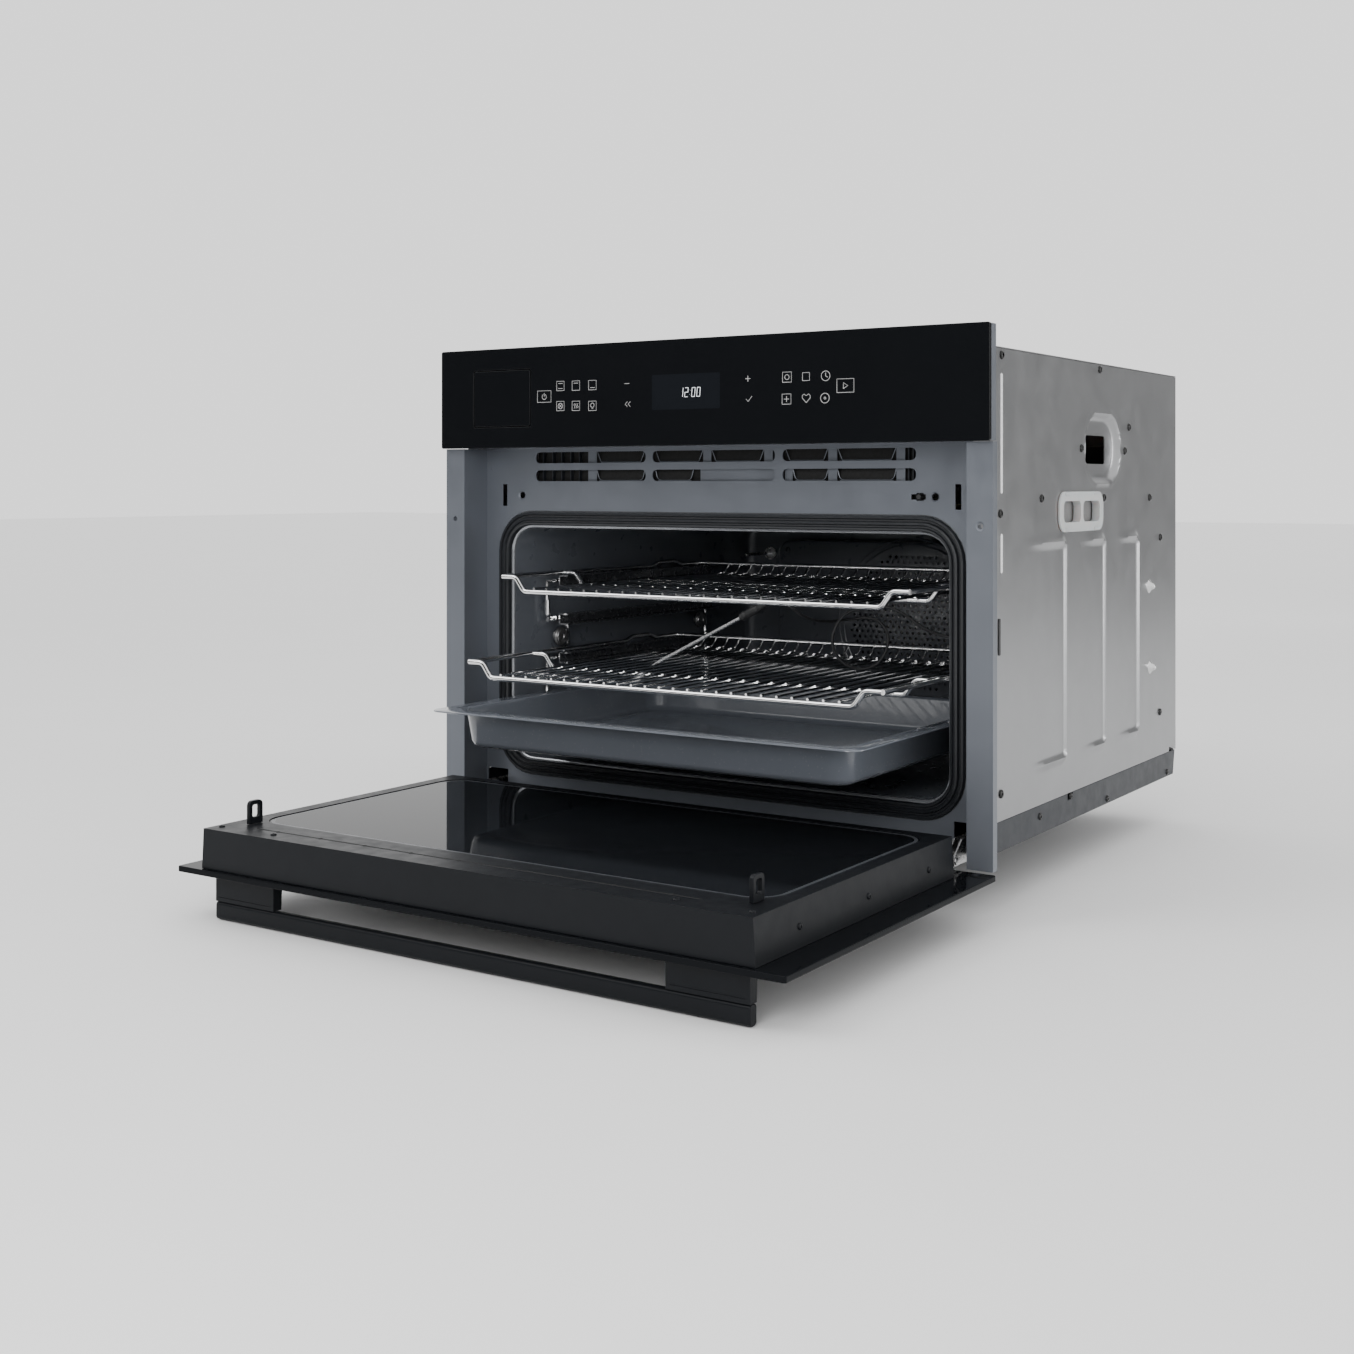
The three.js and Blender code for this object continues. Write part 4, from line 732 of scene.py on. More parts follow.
def iconStrokes():
    strokes = [boxPoints(-165.7, 403.2, 16.6, 11.1), circlePoints(-165.7, 402.9, 2.6, 120, 300),
               [(-165.7, 403.2), (-165.7, 406.4)]]
    # cooking modes on the left: a square with a different mark in each
    marks = {(-146, 412.8): "both", (-146, 393.5): "fan", (-127.3, 412.6): "top", (-107.7, 412.5): "low",
             (-127.3, 393.2): "steam", (-107.7, 392.7): "lamp"}
    for (x, z), mark in marks.items():
        strokes.append(boxPoints(x, z, 9, 9))
        if mark in ("both", "top"):
            strokes.append([(x - 2.6, z + 2.4), (x + 2.6, z + 2.4)])
        if mark in ("both", "low"):
            strokes.append([(x - 2.6, z - 2.4), (x + 2.6, z - 2.4)])
        if mark == "fan":
            strokes += [circlePoints(x, z, 2.7), [(x - 1.7, z - 1.7), (x + 1.7, z + 1.7)],
                        [(x - 1.7, z + 1.7), (x + 1.7, z - 1.7)]]
        if mark == "steam":
            strokes += [[(x + dx, z - 2.4), (x + dx + 0.8, z - 0.8), (x + dx - 0.4, z + 0.8), (x + dx + 0.4, z + 2.4)]
                        for dx in (-2, 0, 2)]
        if mark == "lamp":
            strokes += [circlePoints(x, z + 0.6, 2.1), [(x - 0.9, z - 2.6), (x + 0.9, z - 2.6)]]
    strokes += [[(-70.2, 412.6), (-64.8, 412.6)], [(62.6, 412.7), (68, 412.7)], [(65.3, 410), (65.3, 415.4)]]
    for x in (-68.8, -65.4):
        strokes.append([(x + 1.8, 395.6), (x - 0.6, 393.3), (x + 1.8, 391)])
    strokes += [[(63.4, 394.4), (65.6, 392.2), (69.6, 397)], boxPoints(105.6, 412.7, 9, 9),
                circlePoints(105.6, 412.7, 2.2), boxPoints(124.8, 412.5, 7, 7), circlePoints(144.4, 412.5, 4.3),
                [(144.4, 415.2), (144.4, 412.5), (146.4, 411.2)], boxPoints(105.2, 393.3, 9, 9),
                [(102.6, 393.3), (107.8, 393.3)], [(105.2, 390.7), (105.2, 395.9)]]
    heart = [(125.1, 389.6), (121.1, 393.8), (121.2, 396), (122.9, 397.2), (125.1, 395.6), (127.3, 397.2),
             (129, 396), (129.1, 393.8), (125.1, 389.6)]
    strokes += [heart, circlePoints(143.7, 393.1, 4.3), circlePoints(143.7, 393.1, 0.9),
                boxPoints(163.8, 403.4, 16.6, 11.8), [(161.8, 400.8), (161.8, 406), (166.2, 403.4), (161.8, 400.8)]]
    return strokes


def makePrint(name, strokes, width, finish):
    bm = bmesh.new()
    paths = [[(x * mm, 0, z * mm) for x, z in stroke] for stroke in strokes]
    addWires(bm, paths, width, resolution=1)
    bmesh.ops.scale(bm, vec=(1, 0.04, 1), verts=bm.verts)
    bmesh.ops.translate(bm, vec=(0, panel.y0 + 0.04 * width + 0.00002, 0), verts=bm.verts)
    makePiece(name, bm, finish, "oven")


makePrint("panelIcons", iconStrokes(), panelSet["stroke"], whitePrint)
clockDigits = [stroke for figure, x in (("1", -6.2), ("2", -0.6), (":", 3.2), ("0", 7), ("0", 12.6))
               for stroke in digitStrokes(figure, x, 402.5, 3.8, 9.4, 0.09)]
makePrint("clockDigits", clockDigits, 0.27 * mm, clockGlow)


def makeTankDrawer():
    front, tank, lid = span("tank_front"), span("water_tank"), span("tank_lid")
    bm = bmesh.new()
    addRounded(bm, (front.x0, front.x1), (front.y0 + 0.0001, front.y0 + 0.0044), (front.z0, front.z1), 1, 2 * mm, 5)
    addRounded(bm, (front.x0 + 0.004, front.x1 - 0.004), (front.y0 + 0.004, front.y1),
               (front.z0 + 0.004, front.z1 - 0.004), 1, 2 * mm, 4)
    makePiece("tankFront", bm, blackGlass, "tank_drawer", ["tank_front"], 0.0005)
    bm = bmesh.new()
    addRounded(bm, (tank.x0, tank.x1), (tank.y0, tank.y1), (tank.z0, tank.z1), 1, 3 * mm, 4)
    cutter = bmesh.new()
    addRounded(cutter, (tank.x0 + 0.0016, tank.x1 - 0.0016), (tank.y0 + 0.0016, tank.y1 - 0.0016),
               (tank.z0 + 0.0016, tank.z1 + 0.01), 1, 2 * mm, 4)
    makePiece("waterTank", bm, clearPlastic, "tank_drawer", ["water_tank"], 0.0004, cutter)
    bm = bmesh.new()
    addRounded(bm, (lid.x0, lid.x1), (lid.y0, lid.y1), (lid.z0, lid.z1 - 0.0007), 2, 4 * mm, 4)
    addRounded(bm, (lid.x0 + 0.012, lid.x1 - 0.012), (lid.y0 + 0.03, lid.y1 - 0.08), (lid.z0 + 0.001, lid.z1), 2, 5 * mm, 4)
    for i in range(6):
        y = lid.y1 - 0.06 + i * 0.009
        addRounded(bm, (lid.x0 + 0.02, lid.x1 - 0.02), (y, y + 0.003), (lid.z0 + 0.001, lid.z1), 2, 1.4 * mm, 3)
    makePiece("tankLid", bm, grayPlastic, "tank_drawer", ["tank_lid"], 0.0004)
    makePiece("tankSleeve", nodeCopy("tank_sleeve"), grayPlastic, "oven", ["tank_sleeve"], 0.0004)


makeTankDrawer()
print("control panel made")

# ---- cavity ----
linerSet = {"wall": 1.1 * mm, "back": 12 * mm, "lampHole": 22 * mm, "lamp": (0.0, 0.150), "socket": (-0.106, 0.159)}


def makeLiner(s):
    bm = bmesh.new()
    front, back = liner.y0 + 0.0001, cavity.y1 - 0.0001
    stations = [(0.0244, front), (0.0035, front), (0.0014, front + 0.0004), (0.0004, front + 0.0012),
                (0, front + 0.003), (0, back - s["back"]), (-0.0009, back - 0.0075), (-0.0035, back - 0.0035),
                (-0.0075, back - 0.0009), (-0.012, back)]
    loops = addMouthRing(bm, stations, False)
    bmesh.ops.contextual_create(bm, geom=loops[-1])
    faceTowards(bm, (0, -1, 0))
    cutter = bmesh.new()
    x, y = s["lamp"]
    addRod(cutter, (x, y, cavity.z1 - 0.01), (x, y, cavity.z1 + 0.01), s["lampHole"], 40)
    y, z = s["socket"]
    addRod(cutter, (cavity.x1 - 0.01, y, z), (cavity.x1 + 0.01, y, z), 6 * mm, 20)
    piece = makePiece("cavityLiner", bm, [cavityEnamel, paintedLipHighlight], "oven", ["cavity_liner"],
                      cutter=cutter, wall=s["wall"])
    # the faces at the cavity mouth get the painted highlight finish: a bright line painted round the lip
    paintFaces(piece, 1, lambda place, normal: place.y < front + 0.0022)


makeLiner(linerSet)

sealSet = {"ribs": [(16.5, 0), (16.5, -2.6), (15.6, -4.0), (13.6, -4.2), (12.6, -2.4), (11.4, -2.3), (10.4, -4.8),
                    (8.4, -5.1), (7.3, -3.0), (6.2, -2.9), (5.2, -4.6), (3.6, -4.4), (2.6, -2.6), (2.6, 0)]}


def makeSeal(s):
    bm = bmesh.new()
    addMouthRing(bm, [(margin * mm, sealSpan.y1 + y * mm) for margin, y in s["ribs"]], True)
    bmesh.ops.recalc_face_normals(bm, faces=bm.faces)
    makePiece("cavitySeal", bm, silicone, "oven", ["cavity_seal"], sharp=50)


makeSeal(sealSet)

coverSet = {"corner": 16 * mm, "fold": 3 * mm, "discX": 0, "discZ": 0.159, "discRadius": 81 * mm, "pitch": 7.2 * mm,
            "hole": 1.95 * mm, "rings": (90, 96), "wall": 1.2 * mm, "screws": 12 * mm}


def makeFanCover(s):
    cover = span("fan_cover")
    bm = bmesh.new()
    stations = [(0, cover.y1), (0, cover.y0 + s["fold"]), (0.0004, cover.y0 + 0.0012), (0.0014, cover.y0 + 0.0003),
                (0.003, cover.y0)]
    loops = [addLoop(bm, (cover.x0 + inset, cover.x1 - inset), (cover.z0 + inset, cover.z1 - inset), y,
                     s["corner"] - inset) for inset, y in stations]
    for a, b in zip(loops, loops[1:]):
        bmesh.ops.bridge_loops(bm, edges=a + b)
    bmesh.ops.contextual_create(bm, geom=loops[-1])
    faceTowards(bm, (0, -1, 0))
    cutter = bmesh.new()
    rows = int(s["discRadius"] / (s["pitch"] * 0.866))
    for row in range(-rows, rows + 1):
        z = row * s["pitch"] * 0.866
        for column in range(-14, 15):
            x = (column + 0.5 * (row % 2)) * s["pitch"]
            if hypot(x, z) < s["discRadius"]:
                addRod(cutter, (s["discX"] + x, cover.y0 - 0.003, s["discZ"] + z),
                       (s["discX"] + x, cover.y0 + 0.004, s["discZ"] + z), s["hole"], 8)
    makePiece("fanCover", bm, cavityEnamel, "oven", ["fan_cover"], cutter=cutter, wall=s["wall"])
    bm = bmesh.new()
    for radius in s["rings"]:
        ring = [(s["discX"] + x, cover.y0 + 0.0006, s["discZ"] + z) for x, z in circlePoints(0, 0, radius * mm, steps=72)]
        addWires(bm, [ring[:-1]], 1.3 * mm, closed=True)
    for side in sides.values():
        for z in (cover.z0 + s["screws"], cover.z1 - s["screws"]):
            addScrew(bm, (side * (cover.x1 - s["screws"]), cover.y0, z), (0, -1, 0), 3.6 * mm)
    makePiece("fanCoverTrim", bm, cavityEnamel, "oven")


makeFanCover(coverSet)


def makeCavityFittings():
    lamp, sensor, steam, socket = span("cavity_lamp"), span("temperature_sensor"), span("steam_inlet"), span("probe_socket")
    x, y = (lamp.x0 + lamp.x1) / 2, (lamp.y0 + lamp.y1) / 2
    bm = bmesh.new()
    ring = addTurned(bm, [(0, 0.0215), (0, 0.0255), (-0.0016, 0.0258), (-0.0026, 0.0245), (-0.0026, 0.0222), (0, 0.0215)],
                     (x, y, cavity.z1 - 0.0002), (0, 0, 1), 48)
    holder = addTurned(bm, [(0.001, 0.0205), (0.018, 0.0205), (0.022, 0.012), (0.0255, 0.012), (0.0255, 0)],
                       (x, y, cavity.z1), (0, 0, 1), 40)
    paint(bm, holder, 0)
    lens = addTurned(bm, [(-0.0055, 0), (-0.0054, 0.008), (-0.0046, 0.015), (-0.003, 0.0205), (-0.0006, 0.0216),
                          (0.001, 0.0212), (0.001, 0)], (x, y, cavity.z1), (0, 0, 1), 48)
    paint(bm, ring, 0)
    paint(bm, lens, 1)
    makePiece("cavityLamp", bm, [cavityEnamel, clearPlastic], "oven", ["cavity_lamp"])
    bm = bmesh.new()
    x, z = (sensor.x0 + sensor.x1) / 2, (sensor.z0 + sensor.z1) / 2
    addTurned(bm, [(0, 0), (0.0006, 0.0013), (0.0016, 0.002), (0.058, 0.002), (0.058, 0.0078), (0.0605, 0.0078),
                   (0.0605, 0.003), (0.0815, 0.003), (0.0815, 0)], (x, sensor.y0, z), (0, 1, 0), 24)
    makePiece("temperatureSensor", bm, brightSteel, "oven", ["temperature_sensor"])
    bm = bmesh.new()
    x, z = (steam.x0 + steam.x1) / 2, (steam.z0 + steam.z1) / 2
    addTurned(bm, [(0.0045, 0), (0.004, 0.0025), (0, 0.0035), (0, 0.006), (0.002, 0.0075), (0.0075, 0.009),
                   (0.0078, 0.005), (0.0315, 0.005), (0.0315, 0)], (x, steam.y0, z), (0, 1, 0), 28)
    makePiece("steamInlet", bm, brightSteel, "oven", ["steam_inlet"])
    bm = bmesh.new()
    y, z = (socket.y0 + socket.y1) / 2, (socket.z0 + socket.z1) / 2
    addTurned(bm, [(0, 0.0036), (0, 0.0062), (0.0012, 0.008), (0.0034, 0.0084), (0.0036, 0.0055), (0.0255, 0.0055),
                   (0.0255, 0), (0.022, 0), (0.022, 0.0034), (0.001, 0.0034), (0, 0.0036)],
              (socket.x0, y, z), (1, 0, 0), 28)
    makePiece("probeSocket", bm, brightSteel, "oven", ["probe_socket"])


makeCavityFittings()
print("cavity made")

# ---- shelf supports ----
supportSet = {"inside": 217.2, "width": 12, "wall": 1.6, "tops": (103.4, 143.4, 183.4, 223.4), "y": (-183.5, 112.5),
              "wireX": 232.5, "wire": 2.2, "loopTop": 179, "loopFoot": 146, "loopReach": 35, "upright": (-198.5, 105.5),
              "nuts": ((-177.1, 159), (93.5, 158.5))}


def makeSupport(name, side, s):
    bm = bmesh.new()
    half = s["wall"] / 2
    for top in s["tops"]:
        x0, x1 = s["inside"], s["inside"] + s["width"] - half
        profile = [(x0, top - half), (x1, top - half), (x1, top - s["width"] + half), (x0, top - s["width"] + half)]
        path = roundedPath([(side * x * mm, s["y"][0] * mm, z * mm) for x, z in profile], 1.6 * mm, 3)
        verts = [bm.verts.new(p) for p in path]
        edges = [bm.edges.new(pair) for pair in zip(verts, verts[1:])]
        drawn = bmesh.ops.extrude_edge_only(bm, edges=edges)["geom"]
        bmesh.ops.translate(bm, vec=(0, (s["y"][1] - s["y"][0]) * mm, 0),
                            verts=[item for item in drawn if isinstance(item, bmesh.types.BMVert)])
    piece = meshObject(name + "Sheet", bm)
    solid = piece.modifiers.new("wall", "SOLIDIFY")
    solid.thickness = s["wall"] * mm
    solid.offset = 0
    applyModifiers(piece)
    bm = bmesh.new()
    bm.from_mesh(piece.data)
    bpy.data.objects.remove(piece)
    bmesh.ops.recalc_face_normals(bm, faces=bm.faces)
    wireX, (fore, aft) = side * s["wireX"] * mm, [y * mm for y in s["upright"]]
    high, low = (s["tops"][3] - 6) * mm, (s["tops"][0] - 6) * mm
    loopTop, loopFoot, reach = s["loopTop"] * mm, s["loopFoot"] * mm, s["loopReach"] * mm
    paths = [[(wireX, fore, high), (wireX, fore, loopTop), (wireX, fore + reach, loopTop),
              (wireX, fore + reach, loopFoot), (wireX, fore, loopFoot), (wireX, fore, low)],
             [(wireX, aft, high), (wireX, aft, low)]]
    web = side * (s["inside"] + s["width"] - 1) * mm
    for top in s["tops"]:
        z = (top - 6) * mm
        paths.append([(wireX, fore, z), (wireX, s["y"][0] * mm + 0.010, z), (web, s["y"][0] * mm + 0.012, z)])
        paths.append([(wireX, aft, z), (web, aft, z)])
    wires = addWires(bm, [roundedPath(path, 7 * mm) for path in paths], s["wire"] * mm)
    paint(bm, wires, 1)
    lugX = sorted((side * (s["wireX"] + 1.5) * mm, side * (s["wireX"] + 3) * mm))
    for index, (y, z) in enumerate(s["nuts"]):
        ends = (y * mm - 0.007, fore + reach + 0.001) if index == 0 else (y * mm - 0.007, aft + 0.001)
        addRounded(bm, lugX, ends, (z * mm - 0.007, z * mm + 0.007), 0, 4 * mm, 5)
    sleeve = addRod(bm, (wireX, fore, 0.183), (wireX, fore, 0.198), 3.1 * mm, 20)
    paint(bm, sleeve, 1)
    hand = "left" if side < 0 else "right"
    support = makePiece(name, bm, [darkWire, chromeWire], "oven", ["shelf_support_" + hand])
    paintFaces(support, 1, lambda place, normal: normal.y < -0.9 and place.y < s["y"][0] * mm + 0.0001)
    for end, (y, z) in zip(("front", "rear"), s["nuts"]):
        bm = bmesh.new()
        node = f"support_nut_{end}_{hand}"
        near = span(node).x0 if side > 0 else span(node).x1
        addTurned(bm, [(0.0008, 0), (0.0008, 0.0030), (0, 0.0036), (0, 0.0070), (0.0009, 0.0074), (0.0010, 0.0088),
                       (0.0018, 0.0094), (0.0040, 0.0094), (0.0044, 0.0085), (0.0045, 0.003), (0.0103, 0.003),
                       (0.0103, 0)], (near, y * mm, z * mm), (side, 0, 0), 36)
        makePiece(f"supportNut{end.title()}{hand.title()}", bm, nutSteel, "oven", [node])


makeSupport("shelfSupportLeft", -1, supportSet)
makeSupport("shelfSupportRight", 1, supportSet)

# ---- racks and tray ----
rackSet = {"half": 0.222, "depth": 0.362, "side": 2.6 * mm, "grid": 1.26 * mm, "gridZ": -10.6 * mm, "count": 25,
           "pitch": 15.2 * mm, "drop": 14 * mm, "humpY": (0.262, 0.272, 0.308, 0.318), "hump": 4 * mm}


def makeRack(name, body, node, place, s):
    x0, y0, z0 = place
    half, depth = s["half"], s["depth"]
    thick, thin = [], []
    for y in (0, 0.098):
        thick.append([(-half, y, 0), (-half + 0.0165, y, 0), (-half + 0.0267, y, -s["drop"]),
                      (half - 0.0267, y, -s["drop"]), (half - 0.0165, y, 0), (half, y, 0)])
    a, b, c, d = s["humpY"]
    for side in sides.values():
        x = side * half
        thick.append([(x, 0, 0), (x, a, 0), (x, b, s["hump"]), (x, c, s["hump"]), (x, d, 0), (x, depth, 0)])
    thick.append([(-half, depth, 0), (half, depth, 0)])
    tie = half - 0.034
    thick.append([(-tie, depth - 0.020, s["gridZ"] - 0.0028), (tie, depth - 0.020, s["gridZ"] - 0.0028)])
    for i in range(s["count"]):
        x = (i - (s["count"] - 1) / 2) * s["pitch"]
        thin.append([(x, -0.0012, s["gridZ"]), (x, depth - 0.012, s["gridZ"]), (x, depth, -0.0004)])
    shift = Vector(place)
    bm = bmesh.new()
    addWires(bm, [[p + shift for p in roundedPath(path, 4 * mm, 4)] for path in thick], s["side"], resolution=3)
    addWires(bm, [[p + shift for p in roundedPath(path, 3 * mm, 3)] for path in thin], s["grid"], resolution=1)
    makePiece(name, bm, chromeWire, body, [node])


makeRack("upperRack", "upper_rack", "upper_rack", (0, -0.2835, 0.2263), rackSet)
makeRack("lowerRack", "lower_rack", "lower_rack", (0, -0.3345, 0.1463), rackSet)

traySet = {"wall": 1.2 * mm, "slotX": (212, 216.5), "slotY": ((28, 72), (93, 139), (158, 204)), "rimRadius": 14 * mm,
           "loops": [(227, 0, 362, -1.1, 14), (226.7, 0.3, 361.7, -0.3, 13.7), (226, 1, 361, 0, 13),
                     (210, 19, 351, 0, 24), (208, 21, 349, -0.6, 22), (206.8, 22.2, 347.8, -2.6, 21),
                     (203, 26, 344, -29, 19), (201, 28, 342, -32.6, 17), (196.5, 32.5, 337.5, -34.7, 14)]}


def makeTray(s):
    tray = span("baking_tray")
    bm = bmesh.new()
    loops = []
    for half, y0, y1, z, radius in s["loops"]:
        known = set(bm.verts)
        loops.append(addLoop(bm, (-half * mm, half * mm), (y0 * mm, y1 * mm), 0, radius * mm))
        made = [vert for vert in bm.verts if vert not in known]
        bmesh.ops.rotate(bm, cent=(0, 0, 0), matrix=Matrix.Rotation(pi / 2, 3, "X"), verts=made)
        # the loop now lies flat, its depth running back from the tray's front
        bmesh.ops.rotate(bm, cent=(0, 0, 0), matrix=Matrix.Rotation(pi, 3, "X"), verts=made)
        bmesh.ops.translate(bm, vec=(0, tray.y0, tray.z1 + z * mm), verts=made)
    for a, b in zip(loops, loops[1:]):
        bmesh.ops.bridge_loops(bm, edges=a + b)
    bmesh.ops.contextual_create(bm, geom=loops[-1])
    faceTowards(bm, (0, 0, 1))
    cutter = bmesh.new()
    for side in sides.values():
        x = sorted(side * value * mm for value in s["slotX"])
        for y0, y1 in s["slotY"]:
            addRounded(cutter, x, (tray.y0 + y0 * mm, tray.y0 + y1 * mm), (tray.z1 - 0.006, tray.z1 + 0.004), 2, 2.2 * mm, 4)
    makePiece("bakingTray", bm, trayEnamel, "baking_tray", ["baking_tray"], cutter=cutter, wall=s["wall"],
              sharp=42)


makeTray(traySet)
print("shelves made")

# ---- door, lying open ----
doorSet = {"corner": 2 * mm, "edge": 0.0007, "pane": 26 * mm, "border": 3.2 * mm, "seam": (-0.231, 0.213, -0.5975),
           "screws": ((-0.35, 9), (-0.455, 9), (-0.56, 9))}


def makeDoor(s):
    g, box = doorGlass, span("door_box")
    bm = bmesh.new()
    addRounded(bm, (g.x0, g.x1), (g.y0, g.y1), (g.z0, g.z1), 2, s["corner"], 4)
    makePiece("doorGlassOuter", bm, doorPane, "door", ["door_glass_outer"], s["edge"])
    makePiece("doorBox", nodeCopy("door_box"), satinBlack, "door", ["door_box"], 0.0006)
    bm = bmesh.new()
    # the seam's groove and dots are thin near-black pieces standing proud of the box: painted shade in place of a cut
    # groove
    x0, x1, y = s["seam"]
    addRounded(bm, (x0, x1), (y - 0.0008, y + 0.0008), (box.z1 - 0.0006, box.z1 + 0.00015), 2, 0.7 * mm, 3)
    for i in range(9):
        x = x0 + (x1 - x0) * (i + 0.5) / 9
        addTurned(bm, [(-0.0004, 0), (-0.0004, 0.0018), (0.0002, 0.0018), (0.0004, 0.0012), (0.0004, 0)],
                  (x, y, box.z1), (0, 0, 1), 14)
    makePiece("doorSeam", bm, paintedHollowShade, "door")
    bm = bmesh.new()
    for side in sides.values():
        for y, z in s["screws"]:
            lean = 0.272 - 0.002 * (z * mm - box.z0) / (box.z1 - box.z0)
            addScrew(bm, (side * lean, y, z * mm), (side, 0, 0.06), 2.6 * mm)
        for x in (0.262, 0.2):
            addScrew(bm, (side * x, box.y0 + 0.013, box.z1), (0, 0, 1), 2.6 * mm)
    makePiece("doorScrews", bm, satinBlack, "door")
    pane = span("door_glass_inner")
    bm = bmesh.new()
    verts = addRounded(bm, (pane.x0, pane.x1), (pane.y0, pane.y1), (pane.z0, pane.z1), 2, s["pane"], 10)
    top = max({face for vert in verts for face in vert.link_faces}, key=lambda face: face.calc_center_median().z)
    ring = bmesh.ops.inset_region(bm, faces=[top], thickness=0.0012, depth=0)["faces"]
    ring = bmesh.ops.inset_region(bm, faces=[top], thickness=s["border"], depth=0)["faces"]
    for face in ring:
        face.material_index = 1
    makePiece("doorGlassInner", bm, [doorPane, paneBorder], "door", ["door_glass_inner"], 0.0005)
    middle = span("door_glass_middle")
    bm = bmesh.new()
    addRounded(bm, (middle.x0, middle.x1), (middle.y0, middle.y1), (middle.z0, middle.z1), 2, 10 * mm, 6)
    makePiece("doorGlassMiddle", bm, doorPane, "door", ["door_glass_middle"], 0.0005)


makeDoor(doorSet)


def makeHandle():
    bar = span("handle_bar")
    bm = bmesh.new()
    addRounded(bm, (bar.x0, bar.x1), (bar.y0, bar.y1), (bar.z0, bar.z1), 0, 3.2 * mm, 6)
    makePiece("handleBar", bm, satinBlack, "door", ["handle_bar"], 0.0008)
    for hand in sides:
        node = "handle_bracket_" + hand
        foot = span(node)
        bm = nodeCopy(node)
        cutter = bmesh.new()
        addBlock(cutter, (foot.x0 + 0.004, foot.x1 - 0.004), (foot.y0 - 0.001, foot.y0 + 0.0004),
                 (foot.z0 + 0.0035, foot.z0 + 0.0041))
        makePiece("handleBracket" + hand.title(), bm, satinBlack, "door", [node], 0.0009, cutter)


makeHandle()

hingeSet = {"edge": 0.00035, "rivets": (0.018, 0.050, 0.084), "pinEnd": 3.4 * mm}


def makeHinges(s):
    for hand, side in sides.items():
        arm, receiver = span("hinge_arm_" + hand), span("hinge_receiver_" + hand)
        bm = nodeCopy("hinge_arm_" + hand)
        for rivet in s["rivets"]:
            for way, x in ((-1, arm.x0), (1, arm.x1)):
                y, z = receiver.y0 + 0.004 - rivet, (arm.z0 + arm.z1) / 2
                addTurned(bm, [(-0.0002, 0), (-0.0002, 0.0022), (0.0002, 0.002), (0.0004, 0.0012), (0.0004, 0)],
                          (x, y, z), (way, 0, 0), 16)
        makePiece("hingeArm" + hand.title(), bm, brightSteel, "door", ["hinge_arm_" + hand], s["edge"])
        bm = nodeCopy("hinge_receiver_" + hand)
        for way, x in ((-1, receiver.x0), (1, receiver.x1)):
            addTurned(bm, [(-0.0002, 0), (-0.0002, s["pinEnd"]), (0.0008, 0.003), (0.0012, 0.0015), (0.0012, 0)],
                      (x, doorHinge[1], doorHinge[2]), (way, 0, 0), 20)
        makePiece("hingeReceiver" + hand.title(), bm, brightSteel, "oven", ["hinge_receiver_" + hand],
                  s["edge"])
        makePiece("latchHook" + hand.title(), nodeCopy("latch_hook_" + hand), satinBlack, "door",
                  ["latch_hook_" + hand], 0.0006)


doorHinge = (0, glassFront + 12.4 * mm, 1.2 * mm)
makeHinges(hingeSet)
print("door made")

# ---- casing ----
casingSet = {
    "step": 2.8 * mm, "wall": 1 * mm,
    "screws": ((75.5, 433), (321, 434), (407, 379.5), (270, 355.5), (394.5, 355), (168, 308), (333, 307.6),
               (473, 307), (72.6, 295.5), (509, 264), (507, 76), (74, 53)),
    "baseScrews": ((241, 26), (164, 19), (342, 8), (532, 7)),
    "pads": ((60, 272, 130, 230), (60, 272, 262, 336), (60, 272, 362, 436)),
    "padRise": 1.2 * mm, "bead": 2.3 * mm, "beadWidth": 4.5, "dish": (41.5, 353.5, 50, 34), "dishDepth": 6 * mm,
    "grip": ((-9.5, 62.5), (338, 366)), "window": ((-77, 32), (277, 307)),
    "highlightStrips": ((-214.5, 310, 414), (-214.5, 241, 275)), "nubs": ((473, 213), (476, 127)), "tab": (-219.5, 170, 202),
}


def sideRelief(s, side):
    def relief(place):
        y, z = place.y / mm, place.z / mm
        rise = 0
        for z0, z1, fade, edge in s["pads"]:
            fade, edge, low, high = fade - 289.5, edge - 289.5, z0 - 3, z1 - 3
            # distance outside a rounded rectangle that fades out to the left
            corner = 12
            right, tall = y - (edge - corner), abs(z - (low + high) / 2) - ((high - low) / 2 - corner)
            away = hypot(max(right, 0), max(tall, 0)) + min(max(right, tall), 0) - corner
            fading = smoothStep(y, fade, fade + 60)
            pad = 1 - smoothStep(away, -4, 4)
            bead = 1 - smoothStep(abs(away + 5), 0, s["beadWidth"])
            rise = max(rise, fading * (s["padRise"] * pad + s["bead"] * bead))
        y0, z0, halfY, halfZ = s["dish"]
        run = max(halfY - halfZ, 0)
        away = hypot(max(abs(y - y0) - run, 0), z - z0)
        lip = 0.8 * mm * (1 - smoothStep(abs(away - halfZ - 1), 0, 4))
        return rise + lip - s["dishDepth"] * (1 - smoothStep(away, halfZ - 7, halfZ + 1))
    return relief


